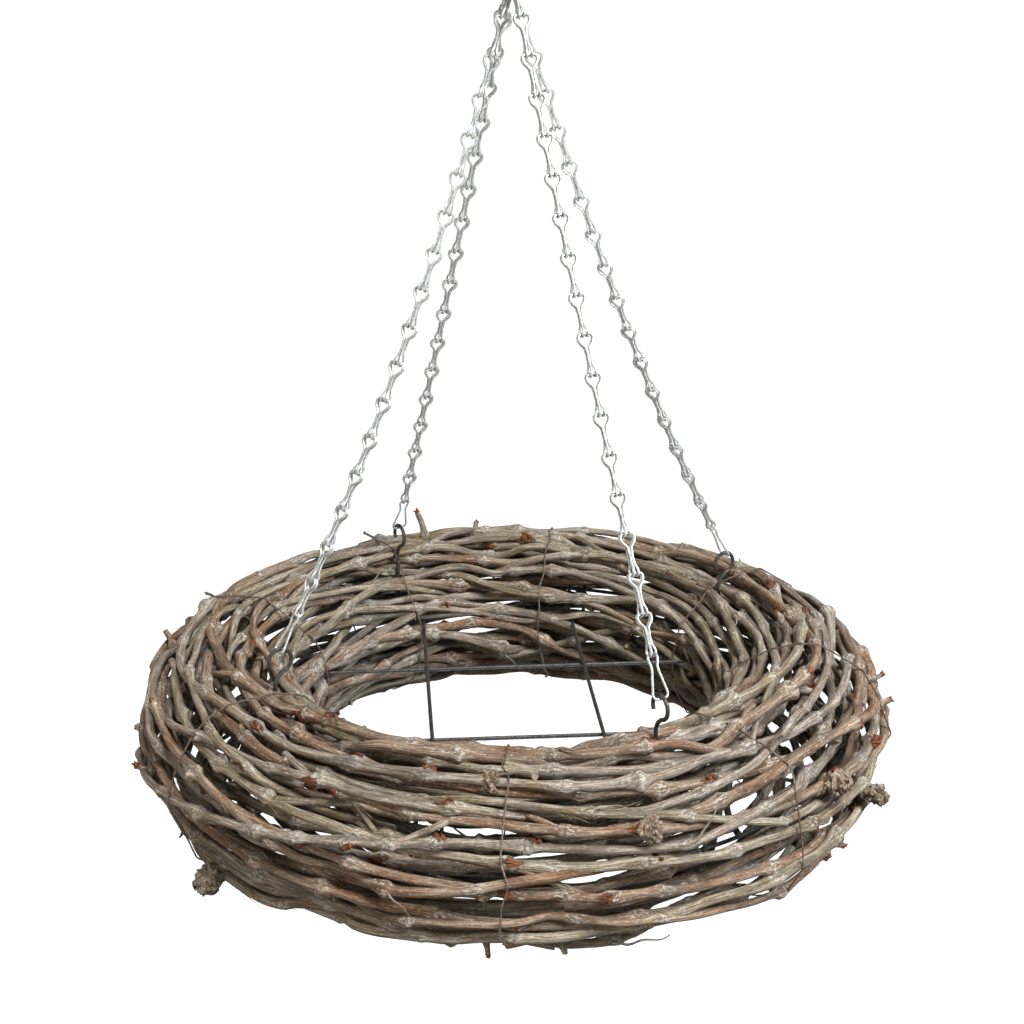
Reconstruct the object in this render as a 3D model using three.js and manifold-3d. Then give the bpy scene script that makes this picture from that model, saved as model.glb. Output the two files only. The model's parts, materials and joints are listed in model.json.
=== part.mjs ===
import * as THREE from "three";
import { mergeVertices } from "three/addons/utils/BufferGeometryUtils.js";
import Module from "manifold-3d";

// A hanging advent wreath: grapevine canes laid round a welded wire frame, bound with thin wire
// and hung by four link chains from one ring. Millimetres, +Z up, front towards -Y.
// The origin is the highest point inside the hanging ring, where a nail or ceiling hook bears.

// The ring of canes
const OUTER_DIAMETER = 450;
const BUNDLE_RADIUS = 49;
const RING_RADIUS = OUTER_DIAMETER / 2 - BUNDLE_RADIUS;
const GAP = 0.3;

// Sections of every cane lie on these evenly spaced half planes through the wreath's axis
const COLUMNS = 32;
const COLUMN_ANGLE = 360 / COLUMNS;
const STATIONS = 8;
const COLUMNS_PER_STATION = COLUMNS / STATIONS;

// The two layers of canes. drift is how many places a cane moves over in one round.
const LAYERS = [
  { name: "inner", places: 15, drift: 4, canes: 18, thin: 3.6, thick: 4.4, sides: 4, seed: 11, phase: 9 },
  { name: "outer", places: 16, drift: -7, canes: 18, thin: 3.6, thick: 4.6, sides: 5, seed: 29, phase: 14 },
];
const NODE_SWELL = 1.12;
const TAPER = 0.1;
const SWELL_CHANCE = 0.4;
const WANDER = 7;
const SMOOTHING = 0.12;
const SMOOTH_PASSES = 80;
const SETTLE_PASSES = 500;
const CUT_SPREAD = 0.35;
// How far a cane runs past its first and last column
const TIP = 0.4;

// Short cut side shoots on the outer canes
const STUB_RADIUS = 2.2;
const STUB_LENGTH = 5.5;
const STUB_TAPER = 0.7;
const BURL_RISE = 0.4;
const STUB_LEAN = 45;
const STUB_SLANT = 0.4;
const STUB_CHANCE = 0.1;
// Side shoots that stand out of the ring's outline. angle is where round the bundle, lean turns a
// shoot up round the bundle and slant turns it on round the wreath.
const SHOOTS = [
  { azimuth: 124, angle: 75, length: 17, lean: 10, slant: 0.2, thick: 2.6 },
  { azimuth: 91, angle: 70, length: 14, lean: 10, slant: -0.9, thick: 1.8 },
  { azimuth: 67, angle: 67, length: 7, lean: 10, slant: -0.5, thick: 2.2 },
  { azimuth: 15, angle: 27, length: 6, lean: 20, slant: 0.3, thick: 2 },
  { azimuth: 8, angle: 24, length: 8, lean: -20, slant: 0.2, thick: 1.8 },
  { azimuth: 4, angle: 3, length: 7, lean: 10, slant: 0.2, thick: 2.4 },
  { azimuth: 358, angle: -9, length: 9, lean: -20, slant: 0, thick: 4.5 },
  { azimuth: 341, angle: 27, length: 6, lean: 0, slant: 0, thick: 5.5 },
  { azimuth: 338, angle: -25, length: 7, lean: 0, slant: 0.5, thick: 2.2 },
  { azimuth: 309, angle: 27, length: 5, lean: 0, slant: 0, thick: 4.8 },
  { azimuth: 290, angle: -38, length: 6, lean: -30, slant: 0, thick: 2 },
  { azimuth: 277, angle: 60, length: 5, lean: 0, slant: 0.4, thick: 3.6 },
  { azimuth: 282, angle: -50, length: 7, lean: -30, slant: 0.2, thick: 1.8 },
  { azimuth: 235, angle: -40, length: 13, lean: 0, slant: -0.3, thick: 6 },
  { azimuth: 212, angle: -9, length: 8, lean: 20, slant: -0.9, thick: 2.4 },
  { azimuth: 206, angle: 0, length: 7, lean: 20, slant: -0.9, thick: 2.2 },
  { azimuth: 211, angle: 27, length: 8, lean: 30, slant: -0.8, thick: 2.2 },
  { azimuth: 189, angle: 33, length: 8, lean: 30, slant: -0.4, thick: 2.4 },
  { azimuth: 184, angle: 42, length: 11, lean: 20, slant: -0.3, thick: 2.4 },
];

// The welded wire frame
const FRAME_WIRE = 1.2;
const HOOP_RADIUS = 28;
const HOOP_CORNERS = 12;
const FRAME_RING_DISTANCE = 26.6;
const GRID_HEIGHT = 5;
const GRID_OFFSET = 51;
const GRID_TURN = 19.6;
const HOLE_RING_CORNERS = 24;

// The four hooks, and which way each open eye bulges: 1 away from the middle, -1 towards it
const HOOK_RADIUS = 156;
const HOOK_EYE_HEIGHT = 65;
const HOOK_EYE_RADIUS = 7;
const HOOK_EYE_SHIFT = 3.5;
const HOOKS = [
  { name: "front_right", azimuth: -45, side: 1, sag: 6, slot: 1.5 },
  { name: "front_left", azimuth: -135, side: -1, sag: 28, slot: 0.5 },
  { name: "back_right", azimuth: 45, side: 1, sag: 20, slot: -0.5 },
  { name: "back_left", azimuth: 135, side: -1, sag: 5, slot: -1.5 },
];

// Binding wire
const TIE_WIRE = 0.6;
const TIE_AZIMUTHS = [6, 45.7, 96, 135.7, 179, 229, 284, 328];
const TIE_CORNERS = 16;

// Chains
const LINKS = 18;
const END_LINK_PITCHES = 1.3;
const LINK_THICKNESS = 2.2;
// How far the first and last links reach past the middle of the wires they hang on
const TOP_REACH = 4.6;
const END_REACH = 5;

// The hanging ring, and how high it holds the chains above the middle of the canes
const HANG_RING_RADIUS = 14;
const HANG_RING_WIRE = 1.5;
const HANG_RING_AZIMUTH = -60;
const CHAIN_SLOT = 3.9;
const CHAIN_RISE = 433;
const HANG_RING_CENTRE = HANG_RING_WIRE - HANG_RING_RADIUS;
const WREATH_HEIGHT = HANG_RING_CENTRE - HANG_RING_RADIUS + HANG_RING_WIRE - CHAIN_RISE;

const MATERIALS = {
  greyBark: { color: 0x857869, roughness: 0.9, metalness: 0 },
  brownBark: { color: 0x75594a, roughness: 0.85, metalness: 0 },
  tanBark: { color: 0x9a8464, roughness: 0.85, metalness: 0 },
  blackWire: { color: 0x3f3f3e, roughness: 0.55, metalness: 0.8 },
  rustyWire: { color: 0x5a4a40, roughness: 0.7, metalness: 0.6 },
  zincWire: { color: 0xb4b2a8, roughness: 0.35, metalness: 1 },
};
const BARKS = ["greyBark", "brownBark", "greyBark", "tanBark", "greyBark", "brownBark"];

const wasm = await Module();
wasm.setup();

const rad = THREE.MathUtils.degToRad;
const deg = THREE.MathUtils.radToDeg;
const UP = new THREE.Vector3(0, 0, 1);

// A seeded random source, so that the wreath is the same each time
function randomSource(seed) {
  let state = seed;
  return () => {
    state = (state * 1664525 + 1013904223) % 4294967296;
    return state / 4294967296;
  };
}

// A number from -1 to 1
function either(random) {
  return 2 * random() - 1;
}

function horizontal(azimuth) {
  return new THREE.Vector3(Math.cos(rad(azimuth)), Math.sin(rad(azimuth)), 0);
}

// The point at a distance and angle round the middle of the bundle. Angle 0 faces away from the
// wreath's axis, 90 up and 180 into the hole.
function bundlePoint(azimuth, distance, angle) {
  const point = horizontal(azimuth).multiplyScalar(RING_RADIUS + distance * Math.cos(rad(angle)));
  return point.setZ(distance * Math.sin(rad(angle)));
}

function signedVolume(position, index) {
  const corner = [0, 1, 2].map(() => new THREE.Vector3());
  let volume = 0;
  for (let i = 0; i < index.length; i += 3) {
    corner.forEach((point, k) => point.fromBufferAttribute(position, index[i + k]));
    volume += corner[0].dot(corner[1].cross(corner[2])) / 6;
  }
  return volume;
}

// A closed skin over rings of points, with flat ends, or joined end to end
function loft(rings, closed = false) {
  const sides = rings[0].length;
  const index = [];
  const spans = closed ? rings.length : rings.length - 1;
  for (let i = 0; i < spans; i++) {
    const here = i * sides;
    const next = ((i + 1) % rings.length) * sides;
    for (let j = 0; j < sides; j++) {
      const k = (j + 1) % sides;
      index.push(here + j, next + j, next + k, here + j, next + k, here + k);
    }
  }
  if (!closed) {
    const last = (rings.length - 1) * sides;
    for (let j = 1; j < sides - 1; j++) {
      index.push(0, j, j + 1, last, last + j + 1, last + j);
    }
  }
  const geometry = new THREE.BufferGeometry().setFromPoints(rings.flat());
  if (signedVolume(geometry.getAttribute("position"), index) < 0) {
    index.reverse();
  }
  return geometry.setIndex(index);
}

// A round wire along points in one plane, whose normal is given
function wire(points, radius, sides, normal, closed = false) {
  const rings = points.map((point, i) => {
    const count = points.length;
    const before = points[closed ? (i + count - 1) % count : Math.max(i - 1, 0)];
    const after = points[closed ? (i + 1) % count : Math.min(i + 1, count - 1)];
    const into = point.clone().sub(before).normalize();
    const out = after.clone().sub(point).normalize();
    const along = into.clone().add(out).normalize();
    const across = new THREE.Vector3().crossVectors(normal, along);
    const mitre = 1 / Math.max(along.dot(into), along.dot(out));
    return Array.from({ length: sides }, (_, j) => {
      const angle = (2 * Math.PI * (j + 0.5)) / sides;
      return point
        .clone()
        .addScaledVector(across, radius * mitre * Math.cos(angle))
        .addScaledVector(normal, radius * Math.sin(angle));
    });
  });
  return loft(rings, closed);
}

function toSolid(geometry) {
  const bare = geometry.clone();
  bare.deleteAttribute("normal");
  bare.deleteAttribute("uv");
  const merged = mergeVertices(bare, 1e-4);
  return new wasm.Manifold(
    new wasm.Mesh({
      numProp: 3,
      vertProperties: new Float32Array(merged.getAttribute("position").array),
      triVerts: new Uint32Array(merged.getIndex().array),
    }),
  );
}

function fromSolid(solid) {
  const mesh = solid.getMesh();
  const geometry = new THREE.BufferGeometry();
  geometry.setAttribute("position", new THREE.BufferAttribute(mesh.vertProperties, 3));
  return geometry.setIndex(new THREE.BufferAttribute(mesh.triVerts, 1));
}

function join(geometries) {
  return fromSolid(geometries.map(toSolid).reduce((whole, next) => whole.add(next)));
}

// The wires of the frame that pass out between the canes of a layer, each as the azimuth where it
// does so and the angles round the bundle that a cane's middle keeps off there. clear is the least
// distance between the two middles, and span how far to each side of the azimuth it holds.
function passingWires(distance, clear) {
  const inset = HOOK_RADIUS - RING_RADIUS;
  const hooks = HOOKS.map(({ azimuth }) => ({
    azimuth,
    span: COLUMN_ANGLE / 2,
    low: deg(Math.acos((inset + clear) / distance)),
    high: deg(Math.acos((inset - clear) / distance)),
  }));
  const spread = deg(Math.asin(GRID_OFFSET / (RING_RADIUS - distance)));
  const bars = [0, 1, 2, 3].flatMap((quarter) =>
    [-spread, spread].map((turn) => ({
      azimuth: GRID_TURN + 90 * quarter + turn,
      span: COLUMN_ANGLE + 3,
      low: 180 - deg(Math.asin((barHeight(quarter) + clear) / distance)),
      high: 180 - deg(Math.asin((barHeight(quarter) - clear) / distance)),
    })),
  );
  return [...hooks, ...bars];
}

// The two bars that run one way lie just over the two that run across them
function barHeight(quarter) {
  return GRID_HEIGHT + (quarter % 2 === 0 ? -1 : 1) * (FRAME_WIRE + GAP / 2);
}

// Each layer is one long coil. s counts the columns along it, and this is the angle round the
// bundle where it would pass column s if every place were even.
function evenAngle({ places, drift, phase }, s) {
  return phase + (drift * s * 360) / (places * COLUMNS);
}

// How far from a cane's middle to the middle of the bundle
function bundleDistance(layer, radius) {
  if (layer.name === "inner") {
    return HOOP_RADIUS + FRAME_WIRE * Math.SQRT1_2 + GAP + radius;
  }
  return BUNDLE_RADIUS - radius * Math.cos(Math.PI / layer.sides);
}

// How far the coil strays from its even angle at each column. Canes wander by chance, but
// neighbours keep clear of each other and of the wires that pass between them.
function strayAngles(layer) {
  const { places, drift } = layer;
  const random = randomSource(layer.seed);
  const total = places * COLUMNS;
  const knots = Array.from({ length: total / COLUMNS_PER_STATION }, () => WANDER * either(random));
  const stray = Array.from({ length: total }, (_, s) => {
    const knot = Math.floor(s / COLUMNS_PER_STATION);
    const part = (s % COLUMNS_PER_STATION) / COLUMNS_PER_STATION;
    return THREE.MathUtils.lerp(knots[knot], knots[(knot + 1) % knots.length], part);
  });
  const reach = layer.thick * NODE_SWELL;
  const distance = bundleDistance(layer, (layer.thin + layer.thick) / 2);
  const least = deg((2 * reach + 2 * GAP) / distance);
  const rounds = Array.from({ length: places }, (_, round) => round);
  const roundAt = rounds.toSorted((a, b) => wrapPlace(a * drift, places) - wrapPlace(b * drift, places));
  const passes = passingWires(distance, reach + FRAME_WIRE + 2 * GAP).flatMap((passing) => {
    const first = Math.ceil((passing.azimuth - passing.span) / COLUMN_ANGLE);
    const last = Math.floor((passing.azimuth + passing.span) / COLUMN_ANGLE);
    return rounds.map((round) => {
      const columns = Array.from({ length: last - first + 1 }, (_, i) => first + i + round * COLUMNS);
      return { ...passing, run: columns.map((column) => wrapPlace(column, total)) };
    });
  });

  function smooth() {
    for (let s = 0; s < total; s++) {
      const middle = (stray[(s + total - 1) % total] + stray[(s + 1) % total]) / 2;
      stray[s] += SMOOTHING * (middle - stray[s]);
    }
  }
  function keepApart() {
    for (let place = 0; place < places; place++) {
      for (let column = 0; column < COLUMNS; column++) {
        const here = roundAt[place] * COLUMNS + column;
        const next = roundAt[(place + 1) % places] * COLUMNS + column;
        const short = least - (360 / places + stray[next] - stray[here]);
        if (short > 0) {
          stray[here] -= short / 2;
          stray[next] += short / 2;
        }
      }
    }
  }
  function keepOffWires() {
    for (const { run, low, high } of passes) {
      const offs = run.map((s) => wrapAngle(evenAngle(layer, s) + stray[s] - (low + high) / 2));
      if (offs.some((off) => Math.abs(off) > 90)) continue;
      const side = offs.reduce((sum, off) => sum + off) < 0 ? -1 : 1;
      run.forEach((s, i) => {
        stray[s] += side * Math.max((high - low) / 2 - side * offs[i], 0);
      });
    }
  }
  for (let pass = 0; pass < SETTLE_PASSES; pass++) {
    if (pass < SMOOTH_PASSES) smooth();
    keepApart();
    keepOffWires();
  }
  return stray;
}

function wrapAngle(angle) {
  return ((((angle + 180) % 360) + 360) % 360) - 180;
}

function wrapPlace(place, places) {
  return ((place % places) + places) % places;
}

// A cane's outline at a place along the coil, which may lie between two columns
function caneSection(layer, stray, s, radius) {
  const before = Math.floor(s);
  const [from, to] = [before, before + 1].map((column) => stray[wrapPlace(column, stray.length)]);
  const azimuth = s * COLUMN_ANGLE;
  const angle = evenAngle(layer, s) + THREE.MathUtils.lerp(from, to, s - before);
  const middle = bundlePoint(azimuth, bundleDistance(layer, radius), angle);
  const outward = bundlePoint(azimuth, 1, angle).sub(bundlePoint(azimuth, 0, angle));
  const sideways = bundlePoint(azimuth, 1, angle + 90).sub(bundlePoint(azimuth, 0, angle));
  const ring = Array.from({ length: layer.sides }, (_, j) => {
    const turn = Math.PI + (2 * Math.PI * j) / layer.sides;
    return middle
      .clone()
      .addScaledVector(outward, radius * Math.cos(turn))
      .addScaledVector(sideways, radius * Math.sin(turn));
  });
  return { s, radius, middle, outward, sideways, ring };
}

// A cut side shoot: a short peg that stands out of a cane's middle, or a burl if it is a thick one
function stub({ s, middle, outward, sideways, radius }, { lean, slant, length, thick }) {
  const along = horizontal(s * COLUMN_ANGLE + 90);
  const direction = outward.clone().addScaledVector(sideways, Math.tan(rad(lean)));
  direction.addScaledVector(along, slant).normalize();
  const across = new THREE.Vector3().crossVectors(direction, along).normalize();
  const third = new THREE.Vector3().crossVectors(direction, across);
  const ends = [
    { reach: 0, size: Math.min(thick, STUB_RADIUS) },
    { reach: radius + length, size: STUB_TAPER * thick },
  ];
  if (thick > STUB_RADIUS) ends.splice(1, 0, { reach: radius + BURL_RISE * length, size: thick });
  return loft(
    ends.map(({ reach, size }) =>
      [0, 1, 2, 3].map((corner) => {
        const turn = (Math.PI / 2) * corner;
        return middle
          .clone()
          .addScaledVector(direction, reach)
          .addScaledVector(across, size * Math.cos(turn))
          .addScaledVector(third, size * Math.sin(turn));
      }),
    ),
  );
}

// The place along the outer coil that a shoot grows from, clear of the binding wires
function shootPlace(layer, stray, { azimuth, angle }) {
  const place = azimuth / COLUMN_ANGLE;
  const near = Math.round(place);
  const columns = [near, near - 1, near + 1].filter((column) => column % COLUMNS_PER_STATION !== 0);
  const column = columns.reduce((best, c) => (Math.abs(c - place) < Math.abs(best - place) ? c : best));
  const places = Array.from({ length: layer.places }, (_, round) => column + round * COLUMNS);
  function miss(s) {
    return Math.abs(wrapAngle(evenAngle(layer, s) + stray[s % stray.length] - angle));
  }
  return places.reduce((best, s) => (miss(s) < miss(best) ? s : best)) % stray.length;
}

// The canes of a layer, cut one after another from its coil
function layCanes(layer) {
  const stray = strayAngles(layer);
  const random = randomSource(layer.seed + 1);
  const total = stray.length;
  const seen = new Map(SHOOTS.map((shoot) => [shootPlace(layer, stray, shoot), shoot]));
  const cuts = Array.from({ length: layer.canes }, (_, k) =>
    Math.round(((k + 0.5 * CUT_SPREAD * either(random)) * total) / layer.canes + 1),
  );
  return cuts.map((cut, k) => {
    const end = k + 1 < cuts.length ? cuts[k + 1] : cuts[0] + total;
    const thick = THREE.MathUtils.lerp(layer.thin, layer.thick, random());
    const places = [cut + 1 - TIP];
    for (let s = cut + 1; s <= end; s++) places.push(s);
    places.push(end + TIP);
    const sections = places.map((s) => {
      const taper = 1 - (TAPER * (s - cut)) / (end - cut);
      const swollen = s % COLUMNS_PER_STATION !== 0 && Number.isInteger(s) && random() < SWELL_CHANCE;
      return caneSection(layer, stray, s, thick * taper * (swollen ? NODE_SWELL : 1));
    });
    const cane = loft(sections.map((section) => section.ring));
    if (layer.name === "inner") return cane;
    const pegs = [];
    for (const section of sections.slice(1, -1)) {
      const shoot = {
        lean: STUB_LEAN * either(random),
        slant: STUB_SLANT * either(random),
        length: STUB_LENGTH * (1 + STUB_SLANT * either(random)),
        thick: STUB_RADIUS,
      };
      const grows = section.s % COLUMNS_PER_STATION === 2 && random() < STUB_CHANCE;
      const known = seen.get(section.s % total);
      if (known || grows) pegs.push(stub(section, known ?? shoot));
    }
    return pegs.length > 0 ? join([cane, ...pegs]) : cane;
  });
}

// The points where a geometry's edges cross the plane along . p = offset, on the side of facing
function planeCut(geometry, along, offset, facing) {
  const position = geometry.getAttribute("position");
  const index = geometry.getIndex().array;
  const points = [];
  const from = new THREE.Vector3();
  const to = new THREE.Vector3();
  for (let i = 0; i < index.length; i++) {
    from.fromBufferAttribute(position, index[i]);
    to.fromBufferAttribute(position, index[i % 3 === 2 ? i - 2 : i + 1]);
    const start = from.dot(along) - offset;
    const stop = to.dot(along) - offset;
    if (start * stop <= 0 && start !== stop && from.dot(facing) > 0) {
      points.push(from.clone().lerp(to, start / (start - stop)));
    }
  }
  return points;
}

// A loop of binding wire drawn tight round the canes
function tie(azimuth, canes) {
  const facing = horizontal(azimuth);
  const along = horizontal(azimuth + 90);
  const faces = [-TIE_WIRE, TIE_WIRE];
  const touched = faces.flatMap((offset) =>
    canes.flatMap((cane) => planeCut(cane, along, offset, facing)),
  );
  const flat = touched.map((point) => [point.dot(facing) - RING_RADIUS, point.z]);
  const step = (2 * Math.PI) / TIE_CORNERS;
  const heights = Array.from({ length: TIE_CORNERS }, (_, j) =>
    Math.max(...flat.map(([x, z]) => x * Math.cos(step * j) + z * Math.sin(step * j))),
  );
  function corner(j, extra) {
    const here = heights[j] + extra;
    const next = heights[(j + 1) % TIE_CORNERS] + extra;
    const x = here * Math.sin(step * (j + 1)) - next * Math.sin(step * j);
    const z = next * Math.cos(step * j) - here * Math.cos(step * (j + 1));
    return [x / Math.sin(step), z / Math.sin(step)];
  }
  const rings = heights.map((_, j) => {
    const near = corner(j, GAP);
    const far = corner(j, GAP + 2 * TIE_WIRE);
    const edges = [[near, faces[0]], [near, faces[1]], [far, faces[1]], [far, faces[0]]];
    return edges.map(([[x, z], offset]) =>
      facing.clone().multiplyScalar(RING_RADIUS + x).addScaledVector(along, offset).setZ(z),
    );
  });
  return loft(rings, true);
}

function circle(count, radius, place) {
  return Array.from({ length: count }, (_, i) => place((360 * i) / count, radius));
}

// Where the ring of the frame that faces the hole runs round the bundle
const HOLE_SIDE = 180 - deg(Math.asin(GRID_HEIGHT / FRAME_RING_DISTANCE));

// The frame: hoops joined by four long rings, with the hooks grown out of four of the hoops
function frame() {
  const hoops = Array.from({ length: STATIONS }, (_, i) => {
    const azimuth = (360 / STATIONS) * i;
    const points = circle(HOOP_CORNERS, HOOP_RADIUS, (turn, size) => bundlePoint(azimuth, size, turn));
    return wire(points, FRAME_WIRE, 4, horizontal(azimuth + 90), true);
  });
  const rings = [0, 90, HOLE_SIDE, 270].map((angle) => {
    const [corners, start] = angle === HOLE_SIDE ? [HOLE_RING_CORNERS, GRID_TURN] : [2 * STATIONS, 0];
    const points = circle(corners, FRAME_RING_DISTANCE, (turn, size) =>
      bundlePoint(turn + start, size, angle),
    );
    return wire(points, FRAME_WIRE, 4, UP, true);
  });
  return join([...hoops, ...rings, ...HOOKS.map(hook)]);
}

// A straight bar across the hole, its ends close against the frame's ring there
function crossBar(quarter) {
  const ringRadius = -bundlePoint(180, FRAME_RING_DISTANCE, HOLE_SIDE).x;
  const ringFace = ringRadius * Math.cos(Math.PI / HOLE_RING_CORNERS) - FRAME_WIRE * Math.SQRT1_2;
  const reach = ringFace - GAP;
  const half = Math.sqrt(reach ** 2 - (GRID_OFFSET + FRAME_WIRE) ** 2);
  const along = horizontal(GRID_TURN + 90 * quarter);
  const middle = horizontal(GRID_TURN + 90 * quarter + 90).multiplyScalar(GRID_OFFSET);
  middle.setZ(barHeight(quarter));
  const ends = [-half, half].map((part) => middle.clone().addScaledVector(along, part));
  return wire(ends, FRAME_WIRE, 5, UP);
}

// A straight stem that grows out of a hoop and bends round into an open eye
function hook({ azimuth, side }) {
  const inset = HOOK_RADIUS - RING_RADIUS;
  const foot = Math.sqrt(HOOP_RADIUS ** 2 - inset ** 2) - 2 * FRAME_WIRE;
  const flat = [[0, foot], [0, HOOK_EYE_HEIGHT - 2 * HOOK_EYE_RADIUS]];
  for (let turn = -75; turn <= 210; turn += 25) {
    const x = HOOK_EYE_SHIFT + HOOK_EYE_RADIUS * Math.cos(rad(turn));
    flat.push([x, HOOK_EYE_HEIGHT + HOOK_EYE_RADIUS * Math.sin(rad(turn))]);
  }
  const points = flat.map(([x, z]) => horizontal(azimuth).multiplyScalar(HOOK_RADIUS + side * x).setZ(z));
  return wire(points, FRAME_WIRE, 4, horizontal(azimuth + 90));
}

// One face of a link from its left edge to its middle line, as half width and place along it.
// The eye's opening is the kite between top, wide and low.
const LINK = {
  edge: [[2.2, 0], [4.8, 0.27], [2.2, 0.62]],
  middle: [[0, 0], [0, 0.09], [2.9, 0.27], [0, 0.6]],
};
const TOP_LINK = {
  edge: [[3.2, 0], [4.9, 0.17], [2.2, 0.62]],
  middle: [[0, 0], [0, 0.09], [3.4, 0.16], [0, 0.6]],
};
const END_LINK = {
  edge: [[2.2, 0], [2.7, 0.3], [5.4, 0.9]],
  middle: [[0, 0], [0, 0.22], [3.5, 0.885], [0, 0.925]],
};
const LINK_FACES = [
  ["edge0", "middle0", "middle1"],
  ["edge0", "middle1", "middle2"],
  ["edge0", "middle2", "edge1"],
  ["edge1", "middle2", "edge2"],
  ["middle2", "middle3", "edge2"],
  ["middle3", "middle4", "edge2"],
  ["edge2", "middle4", "edge3"],
];

// A chain as one band of folded wire links, bent along its sag and turned as it hangs
function chain({ azimuth, sag, side, slot }) {
  const slotTurn = Math.asin((slot * CHAIN_SLOT) / HANG_RING_RADIUS);
  const top = horizontal(HANG_RING_AZIMUTH).multiplyScalar(slot * CHAIN_SLOT);
  top.setZ(HANG_RING_CENTRE - HANG_RING_RADIUS * Math.cos(slotTurn));
  const bottom = horizontal(azimuth).multiplyScalar(HOOK_RADIUS + side * HOOK_EYE_SHIFT);
  bottom.setZ(WREATH_HEIGHT + HOOK_EYE_HEIGHT + HOOK_EYE_RADIUS);
  const pull = top.clone().add(bottom).multiplyScalar(0.5);
  pull.z -= 2 * sag;
  const curve = new THREE.QuadraticBezierCurve3(top, pull, bottom);
  const long = curve.getLength();
  const pitch = (long + TOP_REACH + END_REACH) / (LINKS - 1 + END_LINK_PITCHES);
  const topTurn = HANG_RING_AZIMUTH + 90;
  const twist = flatTwist(azimuth + 90 - topTurn);

  // The point of the band at half its width, at a distance down it and on either face
  function place(half, distance, level) {
    const part = THREE.MathUtils.clamp((distance - TOP_REACH) / long, 0, 1);
    const along = curve.getTangentAt(part);
    const point = curve.getPointAt(part).addScaledVector(along, distance - TOP_REACH - part * long);
    const width = horizontal(topTurn + twist * part);
    width.addScaledVector(along, -width.dot(along)).normalize();
    const normal = new THREE.Vector3().crossVectors(along, width);
    return point.addScaledVector(width, half).addScaledVector(normal, level);
  }

  const points = [];
  const index = [];
  const numbers = new Map();
  function corner(half, distance, level) {
    const key = [half, distance, level].map((value) => value.toFixed(3)).join();
    if (!numbers.has(key)) {
      numbers.set(key, points.length);
      points.push(place(half, distance, level));
    }
    return numbers.get(key);
  }
  const half = LINK_THICKNESS / 2;
  function wall(from, to) {
    const [a, b] = [from, to].map(([w, d]) => corner(w, d, half));
    const [c, d] = [from, to].map(([w, d]) => corner(w, d, -half));
    index.push(a, c, b, b, c, d);
  }
  for (let link = 0; link < LINKS; link++) {
    const last = link === LINKS - 1;
    const shape = last ? END_LINK : link === 0 ? TOP_LINK : LINK;
    const length = pitch * (last ? END_LINK_PITCHES : 1);
    const start = link * pitch;
    const endHalf = last ? 3.2 : LINK.edge[0][0];
    for (const side of [-1, 1]) {
      const at = ([w, part]) => [side * w || 0, start + part * length];
      const edge = [...shape.edge, [endHalf, 1]].map(at);
      const middle = [...shape.middle, [0, 1]].map(at);
      const named = Object.fromEntries([
        ...edge.map((value, i) => [`edge${i}`, value]),
        ...middle.map((value, i) => [`middle${i}`, value]),
      ]);
      for (const face of LINK_FACES) {
        const upper = face.map((name) => corner(...named[name], half));
        const lower = face.map((name) => corner(...named[name], -half));
        if (side > 0) upper.reverse();
        if (side < 0) lower.reverse();
        index.push(...upper, ...lower);
      }
      const outline = [];
      for (let i = 0; i < 3; i++) outline.push([edge[i], edge[i + 1]]);
      for (let i = 1; i < 3; i++) outline.push([middle[i + 1], middle[i]]);
      if (link === 0) outline.push([middle[0], edge[0]]);
      if (last) outline.push([edge[3], middle[4]]);
      for (const [from, to] of outline) {
        if (side > 0) wall(from, to);
        else wall(to, from);
      }
    }
  }
  const geometry = new THREE.BufferGeometry().setFromPoints(points);
  if (signedVolume(geometry.getAttribute("position"), index) < 0) index.reverse();
  return geometry.setIndex(index);
}

// The nearer of the two ways to turn a flat band to the same plane
function flatTwist(turn) {
  const short = wrapAngle(turn);
  return Math.abs(short) > 90 ? short - 180 * Math.sign(short) : short;
}

function hangingRing() {
  const across = horizontal(HANG_RING_AZIMUTH);
  const points = circle(18, HANG_RING_RADIUS, (turn, size) => {
    const point = across.clone().multiplyScalar(size * Math.sin(rad(turn)));
    return point.setZ(HANG_RING_CENTRE - size * Math.cos(rad(turn)));
  });
  return wire(points, HANG_RING_WIRE, 6, horizontal(HANG_RING_AZIMUTH + 90), true);
}

function piece(name, geometry, finish) {
  const mesh = new THREE.Mesh(geometry, new THREE.MeshStandardMaterial(MATERIALS[finish]));
  mesh.name = name;
  return mesh;
}

const model = new THREE.Group();
const wreath = new THREE.Group();
wreath.position.z = WREATH_HEIGHT;
model.add(wreath);

const layers = LAYERS.map((layer) => layCanes(layer));
layers.forEach((canes, level) => {
  canes.forEach((geometry, i) => {
    const number = String(i + 1).padStart(2, "0");
    const bark = BARKS[(i + 2 * level) % BARKS.length];
    wreath.add(piece(`cane_${LAYERS[level].name}_${number}`, geometry, bark));
  });
});
wreath.add(piece("wire_frame", frame(), "blackWire"));
for (let quarter = 0; quarter < 4; quarter++) {
  wreath.add(piece(`cross_bar_${quarter + 1}`, crossBar(quarter), "blackWire"));
}
TIE_AZIMUTHS.forEach((azimuth, i) => {
  wreath.add(piece(`tie_wire_${i + 1}`, tie(azimuth, layers.flat()), "rustyWire"));
});
for (const hanging of HOOKS) {
  model.add(piece(`chain_${hanging.name}`, chain(hanging), "zincWire"));
}
model.add(piece("hanging_ring", hangingRing(), "zincWire"));

export default model;
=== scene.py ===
"""The looks of a hanging advent wreath: bark-covered vine canes, bound round a wire frame, on chains.

Every length is in metres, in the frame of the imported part: +Z up, the front towards -Y, and the
origin at the highest point inside the hanging ring.
"""

from __future__ import annotations

import json
import logging
import math
from dataclasses import dataclass, field
from enum import Enum, IntEnum
from functools import partial
from typing import Any

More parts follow.
